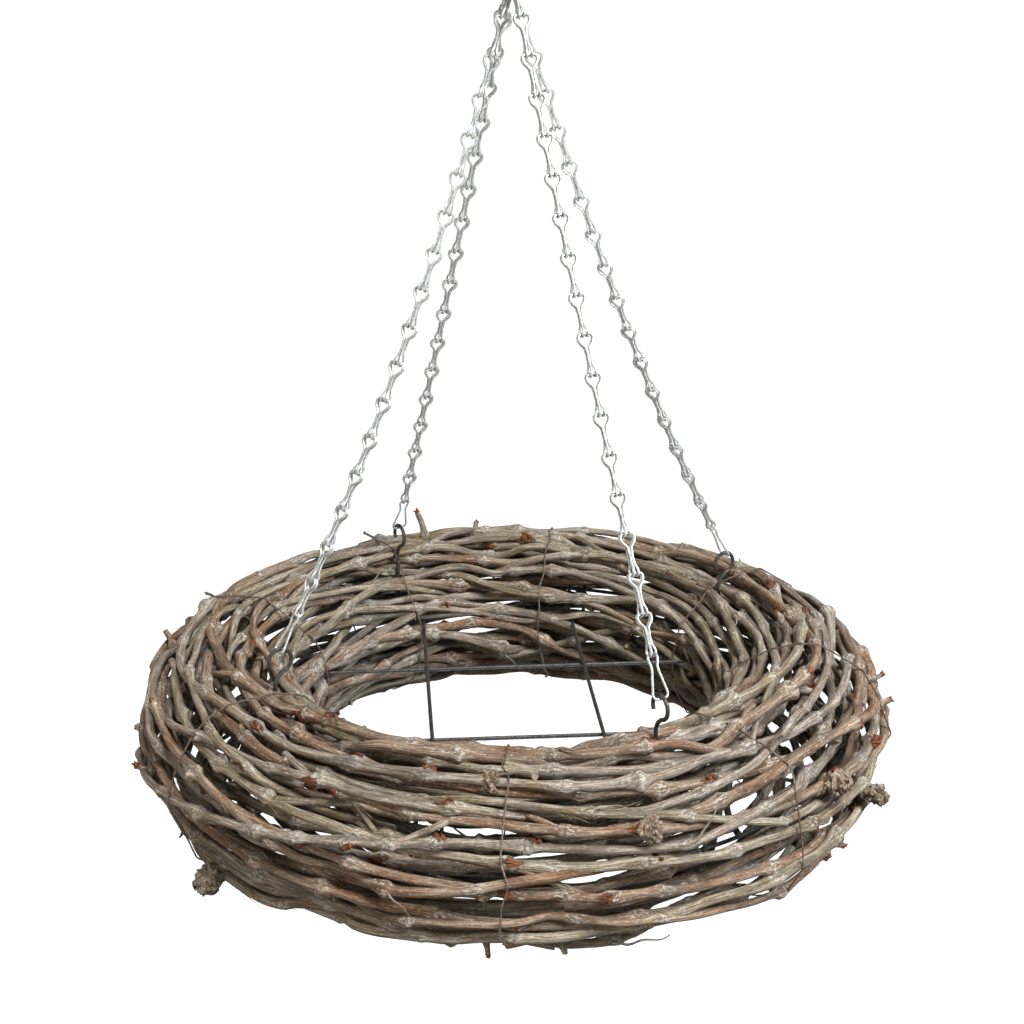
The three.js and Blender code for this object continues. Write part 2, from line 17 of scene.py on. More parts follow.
import bpy
import numpy as np
from mathutils import Euler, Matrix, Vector

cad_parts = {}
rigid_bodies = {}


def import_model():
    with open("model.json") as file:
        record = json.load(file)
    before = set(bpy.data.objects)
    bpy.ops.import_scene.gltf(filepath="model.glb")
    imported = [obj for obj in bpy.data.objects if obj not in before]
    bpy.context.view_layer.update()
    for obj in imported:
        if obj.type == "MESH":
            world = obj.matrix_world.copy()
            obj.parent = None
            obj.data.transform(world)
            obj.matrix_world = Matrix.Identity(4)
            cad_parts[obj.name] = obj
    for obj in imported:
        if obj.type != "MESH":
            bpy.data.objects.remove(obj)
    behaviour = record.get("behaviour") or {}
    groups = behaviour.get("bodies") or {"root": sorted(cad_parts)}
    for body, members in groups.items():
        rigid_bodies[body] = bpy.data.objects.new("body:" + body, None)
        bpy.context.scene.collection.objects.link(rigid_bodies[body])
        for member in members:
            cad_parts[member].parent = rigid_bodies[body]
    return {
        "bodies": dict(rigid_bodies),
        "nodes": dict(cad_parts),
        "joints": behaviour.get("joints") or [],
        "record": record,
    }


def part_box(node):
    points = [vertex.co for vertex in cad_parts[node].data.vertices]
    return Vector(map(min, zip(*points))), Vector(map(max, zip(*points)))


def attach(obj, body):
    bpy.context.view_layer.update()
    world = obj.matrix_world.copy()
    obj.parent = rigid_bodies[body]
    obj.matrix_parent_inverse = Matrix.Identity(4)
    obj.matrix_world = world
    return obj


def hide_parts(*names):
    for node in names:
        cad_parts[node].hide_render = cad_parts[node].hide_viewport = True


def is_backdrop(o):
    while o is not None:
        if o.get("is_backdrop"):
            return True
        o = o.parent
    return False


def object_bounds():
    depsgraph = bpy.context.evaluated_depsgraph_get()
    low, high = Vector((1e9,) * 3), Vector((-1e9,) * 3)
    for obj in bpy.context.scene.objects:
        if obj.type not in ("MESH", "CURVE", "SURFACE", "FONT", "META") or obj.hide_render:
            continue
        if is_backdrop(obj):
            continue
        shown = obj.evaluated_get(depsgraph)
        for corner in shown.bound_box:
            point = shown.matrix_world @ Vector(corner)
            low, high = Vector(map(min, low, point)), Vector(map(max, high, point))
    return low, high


LOG = logging.getLogger("advent_wreath")
MM = 0.001
UP = np.array([0.0, 0.0, 1.0])

# The ring of canes: the middle line of its bundle, and the columns that the part's canes turn at
RING_RADIUS = 176 * MM
WREATH_HEIGHT = -458 * MM
COLUMNS = 32
COLUMN_ANGLE = 2 * math.pi / COLUMNS
# How far a cane of the part runs past its first and last column
TIP = 0.4
# How far from its cane's middle a side shoot of the part ends at most, how wide it is there, how
# thick its end is to its base, and how many corners the end has
SHOOT_REACH = 24 * MM
SHOOT_WIDTH = 9.5 * MM
STUB_TAPER = 0.7
SHOOT_CORNERS = 4
# A shoot of the part that is thicker than this is a burl
BURL_RADIUS = 3.2 * MM
# How a cane is read from its corners: those closer than the first are one, those of a section lie
# within the second of a column and within the third of each other, and the middle of a section
# lies within the fourth of the next one's, as seen along the wreath
SAME_CORNER = 0.02 * MM
ON_COLUMN = 0.004
SECTION_GAP = 7.5 * MM
SECTION_SHIFT = 12 * MM
# How far out of its cane's bark a shoot's end lies at least, how far off its column at most, and how
# many times as thick as the cane a section is at least that is a swollen node
SHOOT_CLEARANCE = 1.5 * MM
SHOOT_COLUMNS = 0.37
SWOLLEN = 1.06

# The loose canes. Each starts a golden share of a turn after the one before it, so that no two
# starts meet, and tries this many ways round the bundle
LOOSE_CANES = 53
LOOSE_START = 2 * math.pi * 0.382
LOOSE_WAYS = 24
LAY_STEP = math.radians(1.5)
TOP_OF_BUNDLE = 54.5 * MM
# The grid that counts how crowded the bundle is, by azimuth and angle, what share of a cell's count
# the cells beside it get, how much the inner canes count, and how much more crowded the underside
# counts than it is, so that few loose canes lie there
CROWD_CELLS = (72, 44)
CROWD_BESIDE = 0.6
CROWD_INSIDE = 0.5
UNDERSIDE_SHUNNED = 0.4

# The broken buds that catch the eye: azimuth and angle round the bundle in degrees, and size
BUD_SPOTS = [
    (276, 57, 1.3), (353, 78, 1.2), (255, 46, 1.1), (285, 27, 0.9), (356, 16, 1.2), (285, 3, 0.9),
    (263, 22, 1.0), (102, 101, 1.1), (256, 19, 0.9), (303, 34, 1.0), (229, 48, 0.8), (315, 108, 0.8),
    (40, 81, 0.8), (272, 75, 0.8), (237, 72, 0.8), (298, 3, 0.8), (242, 48, 0.7), (351, 105, 0.8),
    (275, 33, 0.8), (291, -6, 0.7), (357, 39, 0.9), (316, 57, 0.8), (29, 72, 0.7), (332, -6, 0.8),
]
BUD_DISTANCE = 50 * MM

# The welded frame: hoops at even stations, and long rings and crossed bars between them
STATIONS = 8
FRAME_WIRE = 1.2 * MM
HOOP_RADIUS = 28 * MM
FRAME_RING_DISTANCE = 26.6 * MM
GRID_HEIGHT = 5 * MM
GRID_OFFSET = 51 * MM
GRID_TURN = math.radians(19.6)

# The hooks: how far from the wreath's axis their shanks stand, and the open eye at the top
HOOK_RADIUS = 156 * MM
HOOK_EYE_HEIGHT = 65 * MM
HOOK_EYE_RADIUS = 7 * MM
HOOK_EYE_SHIFT = 3.5 * MM

# The binding wires: where round the wreath each is, and where round the bundle its twisted ends
# are, in degrees
TIE_WIRE = 0.5 * MM
TIE_AZIMUTHS = [6, 45.7, 96, 135.7, 179, 229, 284, 328]
TIE_KNOTS = [95, 120, 150, 70, 60, 40, 155, 80]

# The chains and the ring that gathers them. A chain's end link is longer than the others, and the
# chain reaches past where it bears on the ring and on the hook
LINKS = 18
END_LINK_PITCHES = 1.3
TOP_REACH = 4.6 * MM
END_REACH = 5 * MM
LINK_WIRE = 0.7 * MM
HANG_RING_RADIUS = 14 * MM
HANG_RING_WIRE = 1.5 * MM
HANG_RING_AZIMUTH = math.radians(-60)
CHAIN_SLOT = 3.9 * MM
HANG_RING_CENTRE = HANG_RING_WIRE - HANG_RING_RADIUS


class Layer(Enum):
    """The two layers of canes of the part, by the word in their nodes' names, and the loose ones."""

    INNER = "inner"
    OUTER = "outer"
    LOOSE = "loose"


class CaneFinish(IntEnum):
    """The finishes of a cane, by their numbers in its mesh."""

    BARK = 0
    BUD = 1
    CUT = 2


class Side(Enum):
    """Which way a hook's open eye bulges."""

    AWAY = 1
    TOWARDS = -1


def linear(colour: str, alpha: float = 1.0) -> tuple[float, float, float, float]:
    """Turns an sRGB hex colour into the linear values that Blender's sockets take.

    Args:
        colour: six hex digits, with or without a leading hash.
        alpha: the fourth value.

    Returns:
        Linear red, green and blue, and alpha.
    """
    digits = colour.lstrip("#")
    shares = [int(digits[i : i + 2], 16) / 255 for i in (0, 2, 4)]
    red, green, blue = [c / 12.92 if c <= 0.04045 else ((c + 0.055) / 1.055) ** 2.4 for c in shares]
    return red, green, blue, alpha


def unit(vectors: np.ndarray) -> np.ndarray:
    """Returns the vectors at length one."""
    return vectors / np.linalg.norm(vectors, axis=-1, keepdims=True)


def horizontal(azimuth: float) -> np.ndarray:
    """Returns the level unit vector at an azimuth in radians."""
    return np.array([math.cos(azimuth), math.sin(azimuth), 0.0])


def bundle_point(azimuth: float, distance: float, angle: float) -> np.ndarray:
    """Places a point round the middle line of the bundle of canes.

    Args:
        azimuth: where round the wreath, in radians.
        distance: how far from the bundle's middle line.
        angle: which way from it: 0 away from the wreath's axis, and a quarter turn up.

    Returns:
        The point, in metres.
    """
    point = horizontal(azimuth) * (RING_RADIUS + distance * math.cos(angle))
    point[2] = WREATH_HEIGHT + distance * math.sin(angle)
    return point


def wrapped(value: Any, period: float = 2 * math.pi) -> Any:
    """Returns a value, or an array of them, less whole periods, so that it lies around zero."""
    return (value + period / 2) % period - period / 2


def hill(offset: np.ndarray, width: float | np.ndarray) -> np.ndarray:
    """Returns a rounded hill, which is one where the offset is zero and fades out over its width."""
    return np.exp(-((offset / width) ** 2))


def once_round(count: int) -> np.ndarray:
    """Returns evenly spaced angles, once round."""
    return 2 * math.pi * np.arange(count) / count


def spokes(across: np.ndarray, lift: np.ndarray, turns: np.ndarray) -> np.ndarray:
    """Returns, for each point of a line, the ways out from it at the given turns."""
    return across[:, None] * np.cos(turns)[..., None] + lift[:, None] * np.sin(turns)[..., None]


def lengths_along(points: np.ndarray) -> np.ndarray:
    """Returns how far along the line each of its points lies."""
    steps = np.linalg.norm(np.diff(points, axis=0), axis=1)
    return np.concatenate([[0.0], np.cumsum(steps)])


def spline(knots: np.ndarray, values: np.ndarray, at: np.ndarray) -> np.ndarray:
    """Draws a smooth curve through values given at knots.

    Args:
        knots: rising places, one for each row of values.
        values: the rows that the curve passes through.
        at: the places to read the curve at.

    Returns:
        One row for each place.
    """
    slopes = np.gradient(values, knots, axis=0)
    cell = np.clip(np.searchsorted(knots, at, side="right") - 1, 0, len(knots) - 2)
    width = (knots[cell + 1] - knots[cell])[:, None]
    u = (at - knots[cell])[:, None] / width
    start = (2 * u**3 - 3 * u**2 + 1) * values[cell] + (u**3 - 2 * u**2 + u) * width * slopes[cell]
    stop = (3 * u**2 - 2 * u**3) * values[cell + 1] + (u**3 - u**2) * width * slopes[cell + 1]
    return start + stop


def read_rows(at: np.ndarray, knots: np.ndarray, rows: np.ndarray) -> np.ndarray:
    """Reads the rows that stand at knots at other places, straight from one to the next."""
    return np.stack([np.interp(at, knots, column) for column in rows.T], axis=1)


def places_along(length: float, step: float) -> np.ndarray:
    """Returns places from zero to the length, about a step apart."""
    return np.linspace(0, length, max(2, round(length / step) + 1))


def smooth_line(points: np.ndarray, step: float) -> np.ndarray:
    """Returns a smooth curve through the points, with a point about every step."""
    knots = lengths_along(points)
    return spline(knots, points, places_along(knots[-1], step))


def smooth_loop(points: np.ndarray, step: float) -> np.ndarray:
    """Draws a smooth closed curve through points.

    Args:
        points: the points, once round.
        step: about how far apart the curve's own points lie.

    Returns:
        The curve's points, once round.
    """
    extra = 3
    ring = np.vstack([points[-extra:], points, points[: extra + 1]])
    knots = lengths_along(ring)
    start, stop = knots[extra], knots[extra + len(points)]
    count = max(8, round((stop - start) / step))
    return spline(knots, ring, np.linspace(start, stop, count, endpoint=False))


def even_line(points: np.ndarray, step: float) -> np.ndarray:
    """Returns the same straight stretches, with a point about every step."""
    knots = lengths_along(points)
    return read_rows(places_along(knots[-1], step), knots, points)


def grid_noise(
    random: np.random.Generator, rows: np.ndarray, columns: np.ndarray, around: int
) -> np.ndarray:
    """Smooth noise over a surface that closes on itself in one direction.

    Args:
        random: the seeded source of the heights.
        rows: places along the surface, in cells, shaped to spread over columns.
        columns: places round it, in cells.
        around: how many cells it takes to come round.

    Returns:
        Heights from -1 to 1, one for each place.
    """
    rows, columns = np.broadcast_arrays(rows - rows.min(), columns)
    heights = random.uniform(-1, 1, (int(rows.max()) + 2, around))
    row = np.floor(rows).astype(int)
    column = np.floor(columns).astype(int)
    down = rows - row
    over = columns - column
    down = down * down * (3 - 2 * down)
    over = over * over * (3 - 2 * over)
    here, beside = column % around, (column + 1) % around
    near = heights[row, here] * (1 - over) + heights[row, beside] * over
    far = heights[row + 1, here] * (1 - over) + heights[row + 1, beside] * over
    return near * (1 - down) + far * down


def directions(path: np.ndarray, reference: np.ndarray, closed: bool) -> tuple[np.ndarray, ...]:
    """Works out which way a line runs, and two directions across it.

    Args:
        path: the points of the line.
        reference: one vector, or one for each point, that is never along the line.
        closed: whether the line ends where it starts.

    Returns:
        The direction along the line, one across it, and the one nearest to the reference.
    """
    if closed:
        along = unit(np.roll(path, -1, axis=0) - np.roll(path, 1, axis=0))
    else:
        along = unit(np.gradient(path, axis=0))
    across = unit(np.cross(along, np.broadcast_to(reference, path.shape)))
    return along, across, np.cross(across, along)


def link_object(name: str, data: bpy.types.ID) -> bpy.types.Object:
    """Adds a new object to the scene.

    Args:
        name: the object's name.
        data: its mesh, lamp or camera.

    Returns:
        The object.
    """
    item = bpy.data.objects.new(name, data)
    bpy.context.scene.collection.objects.link(item)
    return item


@dataclass
class MeshBuffer:
    """Gathers the points and faces of one piece, with what its material reads at each point."""

    points: list[np.ndarray] = field(default_factory=list)
    places: list[np.ndarray] = field(default_factory=list)
    masks: list[np.ndarray] = field(default_factory=list)
    faces: list[list[int]] = field(default_factory=list)
    finishes: list[int] = field(default_factory=list)
    count: int = 0

    def add_points(
        self, points: np.ndarray, place: np.ndarray | None = None, mask: np.ndarray | None = None
    ) -> int:
        """Adds points.

        Args:
            points: rows of three.
            place: where each point lies on the bark, or None to use the points themselves.
            mask: the shares of node bark, crease and rust at each point, or None for none. The
            crease share is painted shade in the bark's grooves.

        Returns:
            The number of the first of them.
        """
        first = self.count
        self.points.append(points)
        self.places.append(points if place is None else place)
        self.masks.append(np.zeros((len(points), 3)) if mask is None else mask)
        self.count += len(points)
        return first

    def add_faces(self, faces: np.ndarray, finish: int) -> None:
        """Adds faces, given as rows of point numbers, in one of the piece's finishes."""
        self.faces.extend(faces.tolist())
        self.finishes.extend([finish] * len(faces))

    def add_rings(
        self,
        rings: np.ndarray,
        closed: bool = False,
        finish: int = 0,
        cap_finish: int | None = None,
        place: np.ndarray | None = None,
        mask: np.ndarray | None = None,
    ) -> None:
        """Skins a row of rings, and closes its two ends.

        Args:
            rings: an array of rings by sides by three.
            closed: whether the last ring joins the first.
            finish: the finish of the skin.
            cap_finish: the finish of the ends, or None for the skin's.
            place: where each point lies on the bark.
            mask: what shares each point has of node bark, crease and rust; the crease share is
            painted shade in the bark's grooves.
        """
        count, sides, _ = rings.shape
        first = self.add_points(
            rings.reshape(-1, 3),
            None if place is None else place.reshape(-1, 3),
            None if mask is None else mask.reshape(-1, 3),
        )
        ring = np.arange(count if closed else count - 1)[:, None]
        side = np.arange(sides)[None, :]
        here = first + ring * sides
        there = first + ((ring + 1) % count) * sides
        over = (side + 1) % sides
        quads = np.stack([here + side, there + side, there + over, here + over], axis=-1)
        self.add_faces(quads.reshape(-1, 4), finish)
        if closed:
            return
        end = finish if cap_finish is None else cap_finish
        around = np.arange(sides)
        over = (around + 1) % sides
        for row, flip in ((0, False), (count - 1, True)):
            middle = rings[row].mean(axis=0, keepdims=True)
            spot = None if place is None else place[row].mean(axis=0, keepdims=True)
            centre = self.add_points(middle, spot)
            edge = first + row * sides
            fan = np.stack([np.full(sides, centre), edge + around, edge + over], axis=-1)
            self.add_faces(fan[:, ::-1] if flip else fan, end)

    def add_wire(
        self,
        path: np.ndarray,
        radius: float | np.ndarray,
        reference: np.ndarray,
        sides: int = 10,
        closed: bool = False,
        finish: int = 0,
    ) -> None:
        """Adds a round wire along a line.

        Args:
            path: the points of its middle line.
            radius: half its thickness, or one for each point.
            reference: a vector that is never along the line, or one for each point.
            sides: how many sides stand for round.
            closed: whether the wire ends where it starts.
            finish: the finish of the wire.
        """
        _, across, lift = directions(path, reference, closed)
        size = np.broadcast_to(radius, len(path))[:, None, None]
        self.add_rings(path[:, None] + size * spokes(across, lift, once_round(sides)), closed, finish)

    def add_lump(
        self, middle: np.ndarray, axis: np.ndarray, size: tuple[float, float], roughness: float,
        random: np.random.Generator, finish: int, turns: int = 9,
        mask: tuple[float, float, float] = (0.0, 0.0, 0.0),
    ) -> None:
        """Adds a rough rounded lump.

        Args:
            middle: where it sits.
            axis: the way that it is long.
            size: half its thickness and half its length.
            roughness: how far its skin strays, as a share of its size.
            random: the seeded source of the roughness.
            finish: the finish of the lump.
            turns: how many sides it has round its axis.
            mask: its shares of node bark, crease and rust; the crease share is painted shade.
        """
        across = unit(np.cross(axis, UP + 0.13 * axis[::-1]))
        third = np.cross(axis, across)
        pole = 0.12
        levels = np.linspace(pole, math.pi - pole, turns - 2)
        around = once_round(turns)
        stray = 1 + roughness * random.uniform(-1, 1, (len(levels), turns))
        thick = size[0] * np.sin(levels)[:, None] * stray
        along = -size[1] * np.cos(levels)[:, None] * stray
        rings = (
            middle
            + along[..., None] * axis
            + (thick * np.cos(around))[..., None] * across
            + (thick * np.sin(around))[..., None] * third
        )
        self.add_rings(rings, finish=finish, mask=np.broadcast_to(mask, rings.shape))

    def build(
        self, name: str, materials: list[bpy.types.Material], sharp: float = 50
    ) -> bpy.types.Object:
        """Makes the piece.

        Args:
            name: the piece's name.
            materials: its finishes, in the order of their numbers.
            sharp: edges that turn by more degrees than this stay sharp.

        Returns:
            The new object, linked to the scene.
        """
        mesh = bpy.data.meshes.new(name)
        points = np.concatenate(self.points)
        mesh.from_pydata(points.tolist(), [], self.faces)
        mesh.polygons.foreach_set("material_index", self.finishes)
        mesh.polygons.foreach_set("use_smooth", [True] * len(self.faces))
        place = mesh.attributes.new("bark_place", "FLOAT_VECTOR", "POINT")
        place.data.foreach_set("vector", np.concatenate(self.places).astype(np.float32).ravel())
        masks = np.concatenate(self.masks).astype(np.float32)
        # The second of these masks marks where the bark gets painted shade in its grooves
        for column, label in enumerate(("bark_node", "bark_groove_shade", "bark_rust")):
            layer = mesh.attributes.new(label, "FLOAT", "POINT")
            layer.data.foreach_set("value", masks[:, column].copy())
        for material in materials:
            mesh.materials.append(material)
        mesh.update(calc_edges=True)
        mesh.set_sharp_from_angle(angle=math.radians(sharp))
        return link_object(name, mesh)


def add_node(
    tree: bpy.types.NodeTree, kind: str, inputs: dict[Any, Any] | tuple[Any, ...], **settings: Any
) -> bpy.types.Node:
    """Adds one node to a material or world, with its settings and links.

    Args:
        tree: the node tree.
        kind: the node's type.
        inputs: what its sockets take, in their order or by name or number: a value, a socket to
            link, or a node, whose first working output is linked.
        **settings: the node's own settings.

    Returns:
        The new node.
    """
    node = tree.nodes.new(kind)
    for name, value in settings.items():
        setattr(node, name, value)
    for key, value in inputs.items() if isinstance(inputs, dict) else enumerate(inputs):
        if isinstance(value, bpy.types.Node):
            value = next(socket for socket in value.outputs if socket.enabled)
        if isinstance(value, bpy.types.NodeSocket):
            tree.links.new(value, node.inputs[key])
        else:
            node.inputs[key].default_value = value
    return node


def set_stops(ramp: bpy.types.ColorRamp, stops: list[tuple[float, str]]) -> None:
    """Gives a colour ramp its stops.

    Args:
        ramp: the ramp.
        stops: the place of each stop, and its sRGB hex colour.
    """
    while len(ramp.elements) < len(stops):
        ramp.elements.new(1.0)
    for element, (place, colour) in zip(ramp.elements, stops):
        element.position = place
        element.color = linear(colour)


@dataclass(frozen=True)
class Finish:
    """What every finish has: its name, and one surface shader that its pattern feeds."""

    name: str

    def surface(self, tree: bpy.types.NodeTree) -> dict[str, Any]:
        """Adds the finish's pattern to a tree, and returns what the surface shader takes."""
        raise NotImplementedError

    def material(self) -> bpy.types.Material:
        """Makes the finish.

        Returns:
            The new material.
        """
        material = bpy.data.materials.new(self.name)
        material.use_nodes = True
        tree = material.node_tree
        tree.nodes.clear()
        shader = add_node(tree, "ShaderNodeBsdfPrincipled", self.surface(tree))
        add_node(tree, "ShaderNodeOutputMaterial", (shader,))
        return material


@dataclass(frozen=True)
class VineBark(Finish):
    """Bark of a dried grape cane, weathered outdoors and left raw.

    It splits into long strings, so the eye sees fine pale and dark streaks along the cane, warm
    stretches where the outer strings are gone, chalky crackled bark at the nodes, and rust brown
    scales where a bud broke off. Strings and cells of bark are drawn as wide as they are, and the
    hairs that the strings fray into about twice as wide, so that they show.
    """

    base: str
    shade: str
    light: str
    flush: str
    chalk: str = "#c8c2b6"
    # crease colours the real cracks and splits, and also the painted shade in the grooves
    crease: str = "#1d1713"
    scale_dark: str = "#2c160d"
    scale_light: str = "#8a5231"
    string_width: float = 0.7 * MM
    string_length: float = 16 * MM
    hair_width: float = 0.34 * MM
    hair_length: float = 6 * MM
    crack_width: float = 1.1 * MM
    crack_length: float = 18 * MM
    stretch_width: float = 9 * MM
    stretch_length: float = 46 * MM
    crumb_width: float = 1.3 * MM
    crumb_length: float = 1.82 * MM
    fleck_width: float = 0.9 * MM
    fleck_length: float = 2.6 * MM
    cell_width: float = 1.1 * MM
    cell_length: float = 2.0 * MM
    relief: float = 0.5 * MM

    def marks(self, tree: bpy.types.NodeTree, width: float, length: float) -> bpy.types.Node:
        """Reads places on the bark, counted in marks of one size.

        Args:
            tree: the material's node tree.
            width: the size of a mark round the cane.
            length: its size along it.

        Returns:
            The node of the places.
        """
        place = add_node(tree, "ShaderNodeAttribute", (), attribute_name="bark_place")
        scale = (1 / width, 1 / width, 1 / length)
        return add_node(tree, "ShaderNodeMapping", {"Vector": place.outputs["Vector"], "Scale": scale})

    def noise(
        self, tree: bpy.types.NodeTree, width: float, length: float, detail: float
    ) -> bpy.types.Node:
        """Adds noise that is stretched along the cane.

        Args:
            tree: the material's node tree.
            width: the size of its marks round the cane.
            length: their size along it.
            detail: how many finer octaves it has.

        Returns:
            The noise.
        """
        marks = self.marks(tree, width, length)
        inputs = {"Vector": marks, "Scale": 1.0, "Detail": detail, "Roughness": 0.62}
        return add_node(tree, "ShaderNodeTexNoise", inputs)

    def surface(self, tree: bpy.types.NodeTree) -> dict[str, Any]:
        """Adds the bark's streaks, cracks, chalk and scales to a tree, and painted shade in its grooves.

        A noise lies mostly between 0.3 and 0.7. Each map range below cuts one where its marks
        begin and where they are full, and says how strong they are there.

        Args:
            tree: the material's node tree.

        Returns:
            What the surface shader takes.
        """
        add = partial(add_node, tree)
        strings = self.noise(tree, self.string_width, self.string_length, 3.0)
        hairs = self.noise(tree, self.hair_width, self.hair_length, 2.0)
        cracks = self.noise(tree, self.crack_width, self.crack_length, 2.0)
        stretches = self.noise(tree, self.stretch_width, self.stretch_length, 2.0)
        crumbs = self.noise(tree, self.crumb_width, self.crumb_length, 4.0)
        flecks = self.noise(tree, self.fleck_width, self.fleck_length, 3.0)
        cells = add(
            "ShaderNodeTexVoronoi",
            {"Vector": self.marks(tree, self.cell_width, self.cell_length), "Scale": 1.0},
            feature="DISTANCE_TO_EDGE",
        )
        crease, node, rust = (
            add("ShaderNodeAttribute", (), attribute_name=mask).outputs["Fac"]
            for mask in ("bark_groove_shade", "bark_node", "bark_rust")
        )

        # The streaks, and the warm stretches where the outer strings are gone
        crumbled = add("ShaderNodeMath", (crumbs, 0.3, strings), operation="MULTIPLY_ADD")
        frayed = add("ShaderNodeMath", (hairs, 0.45, crumbled), operation="MULTIPLY_ADD")
        streaks = add("ShaderNodeValToRGB", (frayed,))
        set_stops(streaks.color_ramp, [(0.62, self.shade), (0.84, self.base), (1.0, self.light)])
        bare = add("ShaderNodeMapRange", (stretches, 0.47, 0.66, 0.0, 0.8))
        warm = {0: bare, 6: streaks, 7: linear(self.flush)}
        colour = add("ShaderNodeMix", warm, data_type="RGBA", blend_type="MULTIPLY")

        # Chalky flecks, thicker at the nodes, and cracks round the cells of node bark
        chalky = add("ShaderNodeMath", (node, 0.12, flecks), operation="MULTIPLY_ADD")
        chalk = add("ShaderNodeMapRange", (chalky, 0.57, 0.72, 0.0, 0.62))
        edge = add("ShaderNodeMapRange", (cells, 0.1, 0.03, 0.0, 1.0))
        brittle = add("ShaderNodeMath", (node, 0.35, crumbs), operation="MULTIPLY_ADD")
        broken = add("ShaderNodeMapRange", (brittle, 0.72, 0.92, 0.0, 0.6))
        crazed = add("ShaderNodeMath", (edge, broken), operation="MULTIPLY")

        # Rusty scales with a dark rim, long splits, and painted shade in the grooves
        scaly = add("ShaderNodeMath", (rust, 0.55, crumbs), operation="MULTIPLY_ADD")
        rim = add("ShaderNodeMapRange", (scaly, 0.68, 0.75, 0.0, 0.75))
        scales = add("ShaderNodeMapRange", (scaly, 0.77, 0.83, 0.0, 1.0))
        scale_colour = add("ShaderNodeValToRGB", (hairs,))
        set_stops(scale_colour.color_ramp, [(0.42, self.scale_dark), (0.64, self.scale_light)])
        split = add("ShaderNodeMapRange", (cracks, 0.35, 0.28, 0.0, 0.5))
        groove = add("ShaderNodeMath", (crease, strings), operation="MULTIPLY")
        painted_shade = add("ShaderNodeMapRange", (groove, 0.32, 0.62, 0.0, 0.7))

        layers = [
            (chalk, linear(self.chalk)),
            (crazed, linear(self.crease)),
            (rim, linear(self.scale_dark)),
            (scales, scale_colour),
            (split, linear(self.crease)),
            (painted_shade, linear(self.crease)),
        ]
        for share, over in layers:
            colour = add("ShaderNodeMix", {0: share, 6: colour, 7: over}, data_type="RGBA")

        # What stands up: crumbs, most at the nodes, and the chalk; splits and cracks lie lower
        rough = add("ShaderNodeMath", (node, 0.9, 0.1), operation="MULTIPLY_ADD")
        height = add("ShaderNodeMath", (crumbs, rough, frayed), operation="MULTIPLY_ADD")
        for lower in (split, crazed):
            height = add("ShaderNodeMath", (height, lower), operation="SUBTRACT")
        height = add("ShaderNodeMath", (chalk, 0.3, height), operation="MULTIPLY_ADD")
        bump = add("ShaderNodeBump", {"Height": height, "Strength": 0.85, "Distance": self.relief})
        return {
            "Base Color": colour,
            "Roughness": 0.86,
            "IOR": 1.45,
            "Specular IOR Level": 0.3,
            "Normal": bump,
        }


@dataclass(frozen=True)
class BareWood(Finish):
    """Wood laid bare where a cane or shoot was cut or broken: pale pith, or rusty crumbling bud wood."""

    dark: str
    light: str
    grain: float = 0.8 * MM
    relief: float = 0.4 * MM

    def surface(self, tree: bpy.types.NodeTree) -> dict[str, Any]:
        """Adds the wood's crumbly grain to a tree.

        Args:
            tree: the material's node tree.

        Returns:
            What the surface shader takes.
        """
        add = partial(add_node, tree)
        place = add("ShaderNodeTexCoord", ()).outputs["Object"]
        pattern = {"Vector": place, "Scale": 1 / self.grain, "Detail": 3.0, "Roughness": 0.65}
        noise = add("ShaderNodeTexNoise", pattern)
        ramp = add("ShaderNodeValToRGB", (noise,))
        set_stops(ramp.color_ramp, [(0.34, self.dark), (0.66, self.light)])
        bump = add("ShaderNodeBump", {"Height": noise, "Strength": 0.8, "Distance": self.relief})
        return {"Base Color": ramp, "Roughness": 0.9, "Specular IOR Level": 0.25, "Normal": bump}


@dataclass(frozen=True)
class DrawnWire(Finish):
    """Metal wire pulled through a die, so that it shines along its length in soft broken lines.

    Annealed iron has a dark scale with duller spots. Binding wire has begun to rust. Zinc plate
    is pale and bright, with a faint cloudy spangle. The lines of the die are drawn a few times as
    wide as they are, so that they show.
    """

    dark: str
    light: str
    metallic: float
    smooth: float
    dull: float
    mottle: float = 1.5 * MM
    drawn: float = 0.25 * MM
    relief: float = 0.05 * MM

    def surface(self, tree: bpy.types.NodeTree) -> dict[str, Any]:
        """Adds the wire's clouds and fine lines to a tree.

        Args:
            tree: the material's node tree.

        Returns:
            What the surface shader takes.
        """
        add = partial(add_node, tree)
        place = add("ShaderNodeTexCoord", ()).outputs["Object"]
        pattern = {"Vector": place, "Scale": 1 / self.mottle, "Detail": 3.0, "Roughness": 0.6}
        cloud = add("ShaderNodeTexNoise", pattern)
        fine = add("ShaderNodeTexNoise", {"Vector": place, "Scale": 1 / self.drawn, "Detail": 1.0})
        ramp = add("ShaderNodeValToRGB", (cloud,))
        set_stops(ramp.color_ramp, [(0.35, self.dark), (0.62, self.light)])
        rough = add("ShaderNodeMapRange", (cloud, 0.3, 0.7, self.dull, self.smooth))
        bump = add("ShaderNodeBump", {"Height": fine, "Strength": 0.25, "Distance": self.relief})
        return {
            "Base Color": ramp,
            "Metallic": self.metallic,
            "Roughness": rough,
            "Normal": bump,
        }


@dataclass(frozen=True)
class MattPaint(Finish):
    """White emulsion paint, rolled on a studio floor: even and without gloss."""

    colour: str
    stipple: float = 6 * MM
    relief: float = 0.2 * MM

    def surface(self, tree: bpy.types.NodeTree) -> dict[str, Any]:
        """Adds the roller's stipple to a tree.

        Args:
            tree: the material's node tree.

        Returns:
            What the surface shader takes.
        """
        add = partial(add_node, tree)
        place = add("ShaderNodeTexCoord", ()).outputs["Object"]
        noise = add("ShaderNodeTexNoise", {"Vector": place, "Scale": 1 / self.stipple, "Detail": 2.0})
        bump = add("ShaderNodeBump", {"Height": noise, "Strength": 0.03, "Distance": self.relief})
        return {
            "Base Color": linear(self.colour),
            "Roughness": 0.9,
            "Specular IOR Level": 0.1,
            "Normal": bump,
        }


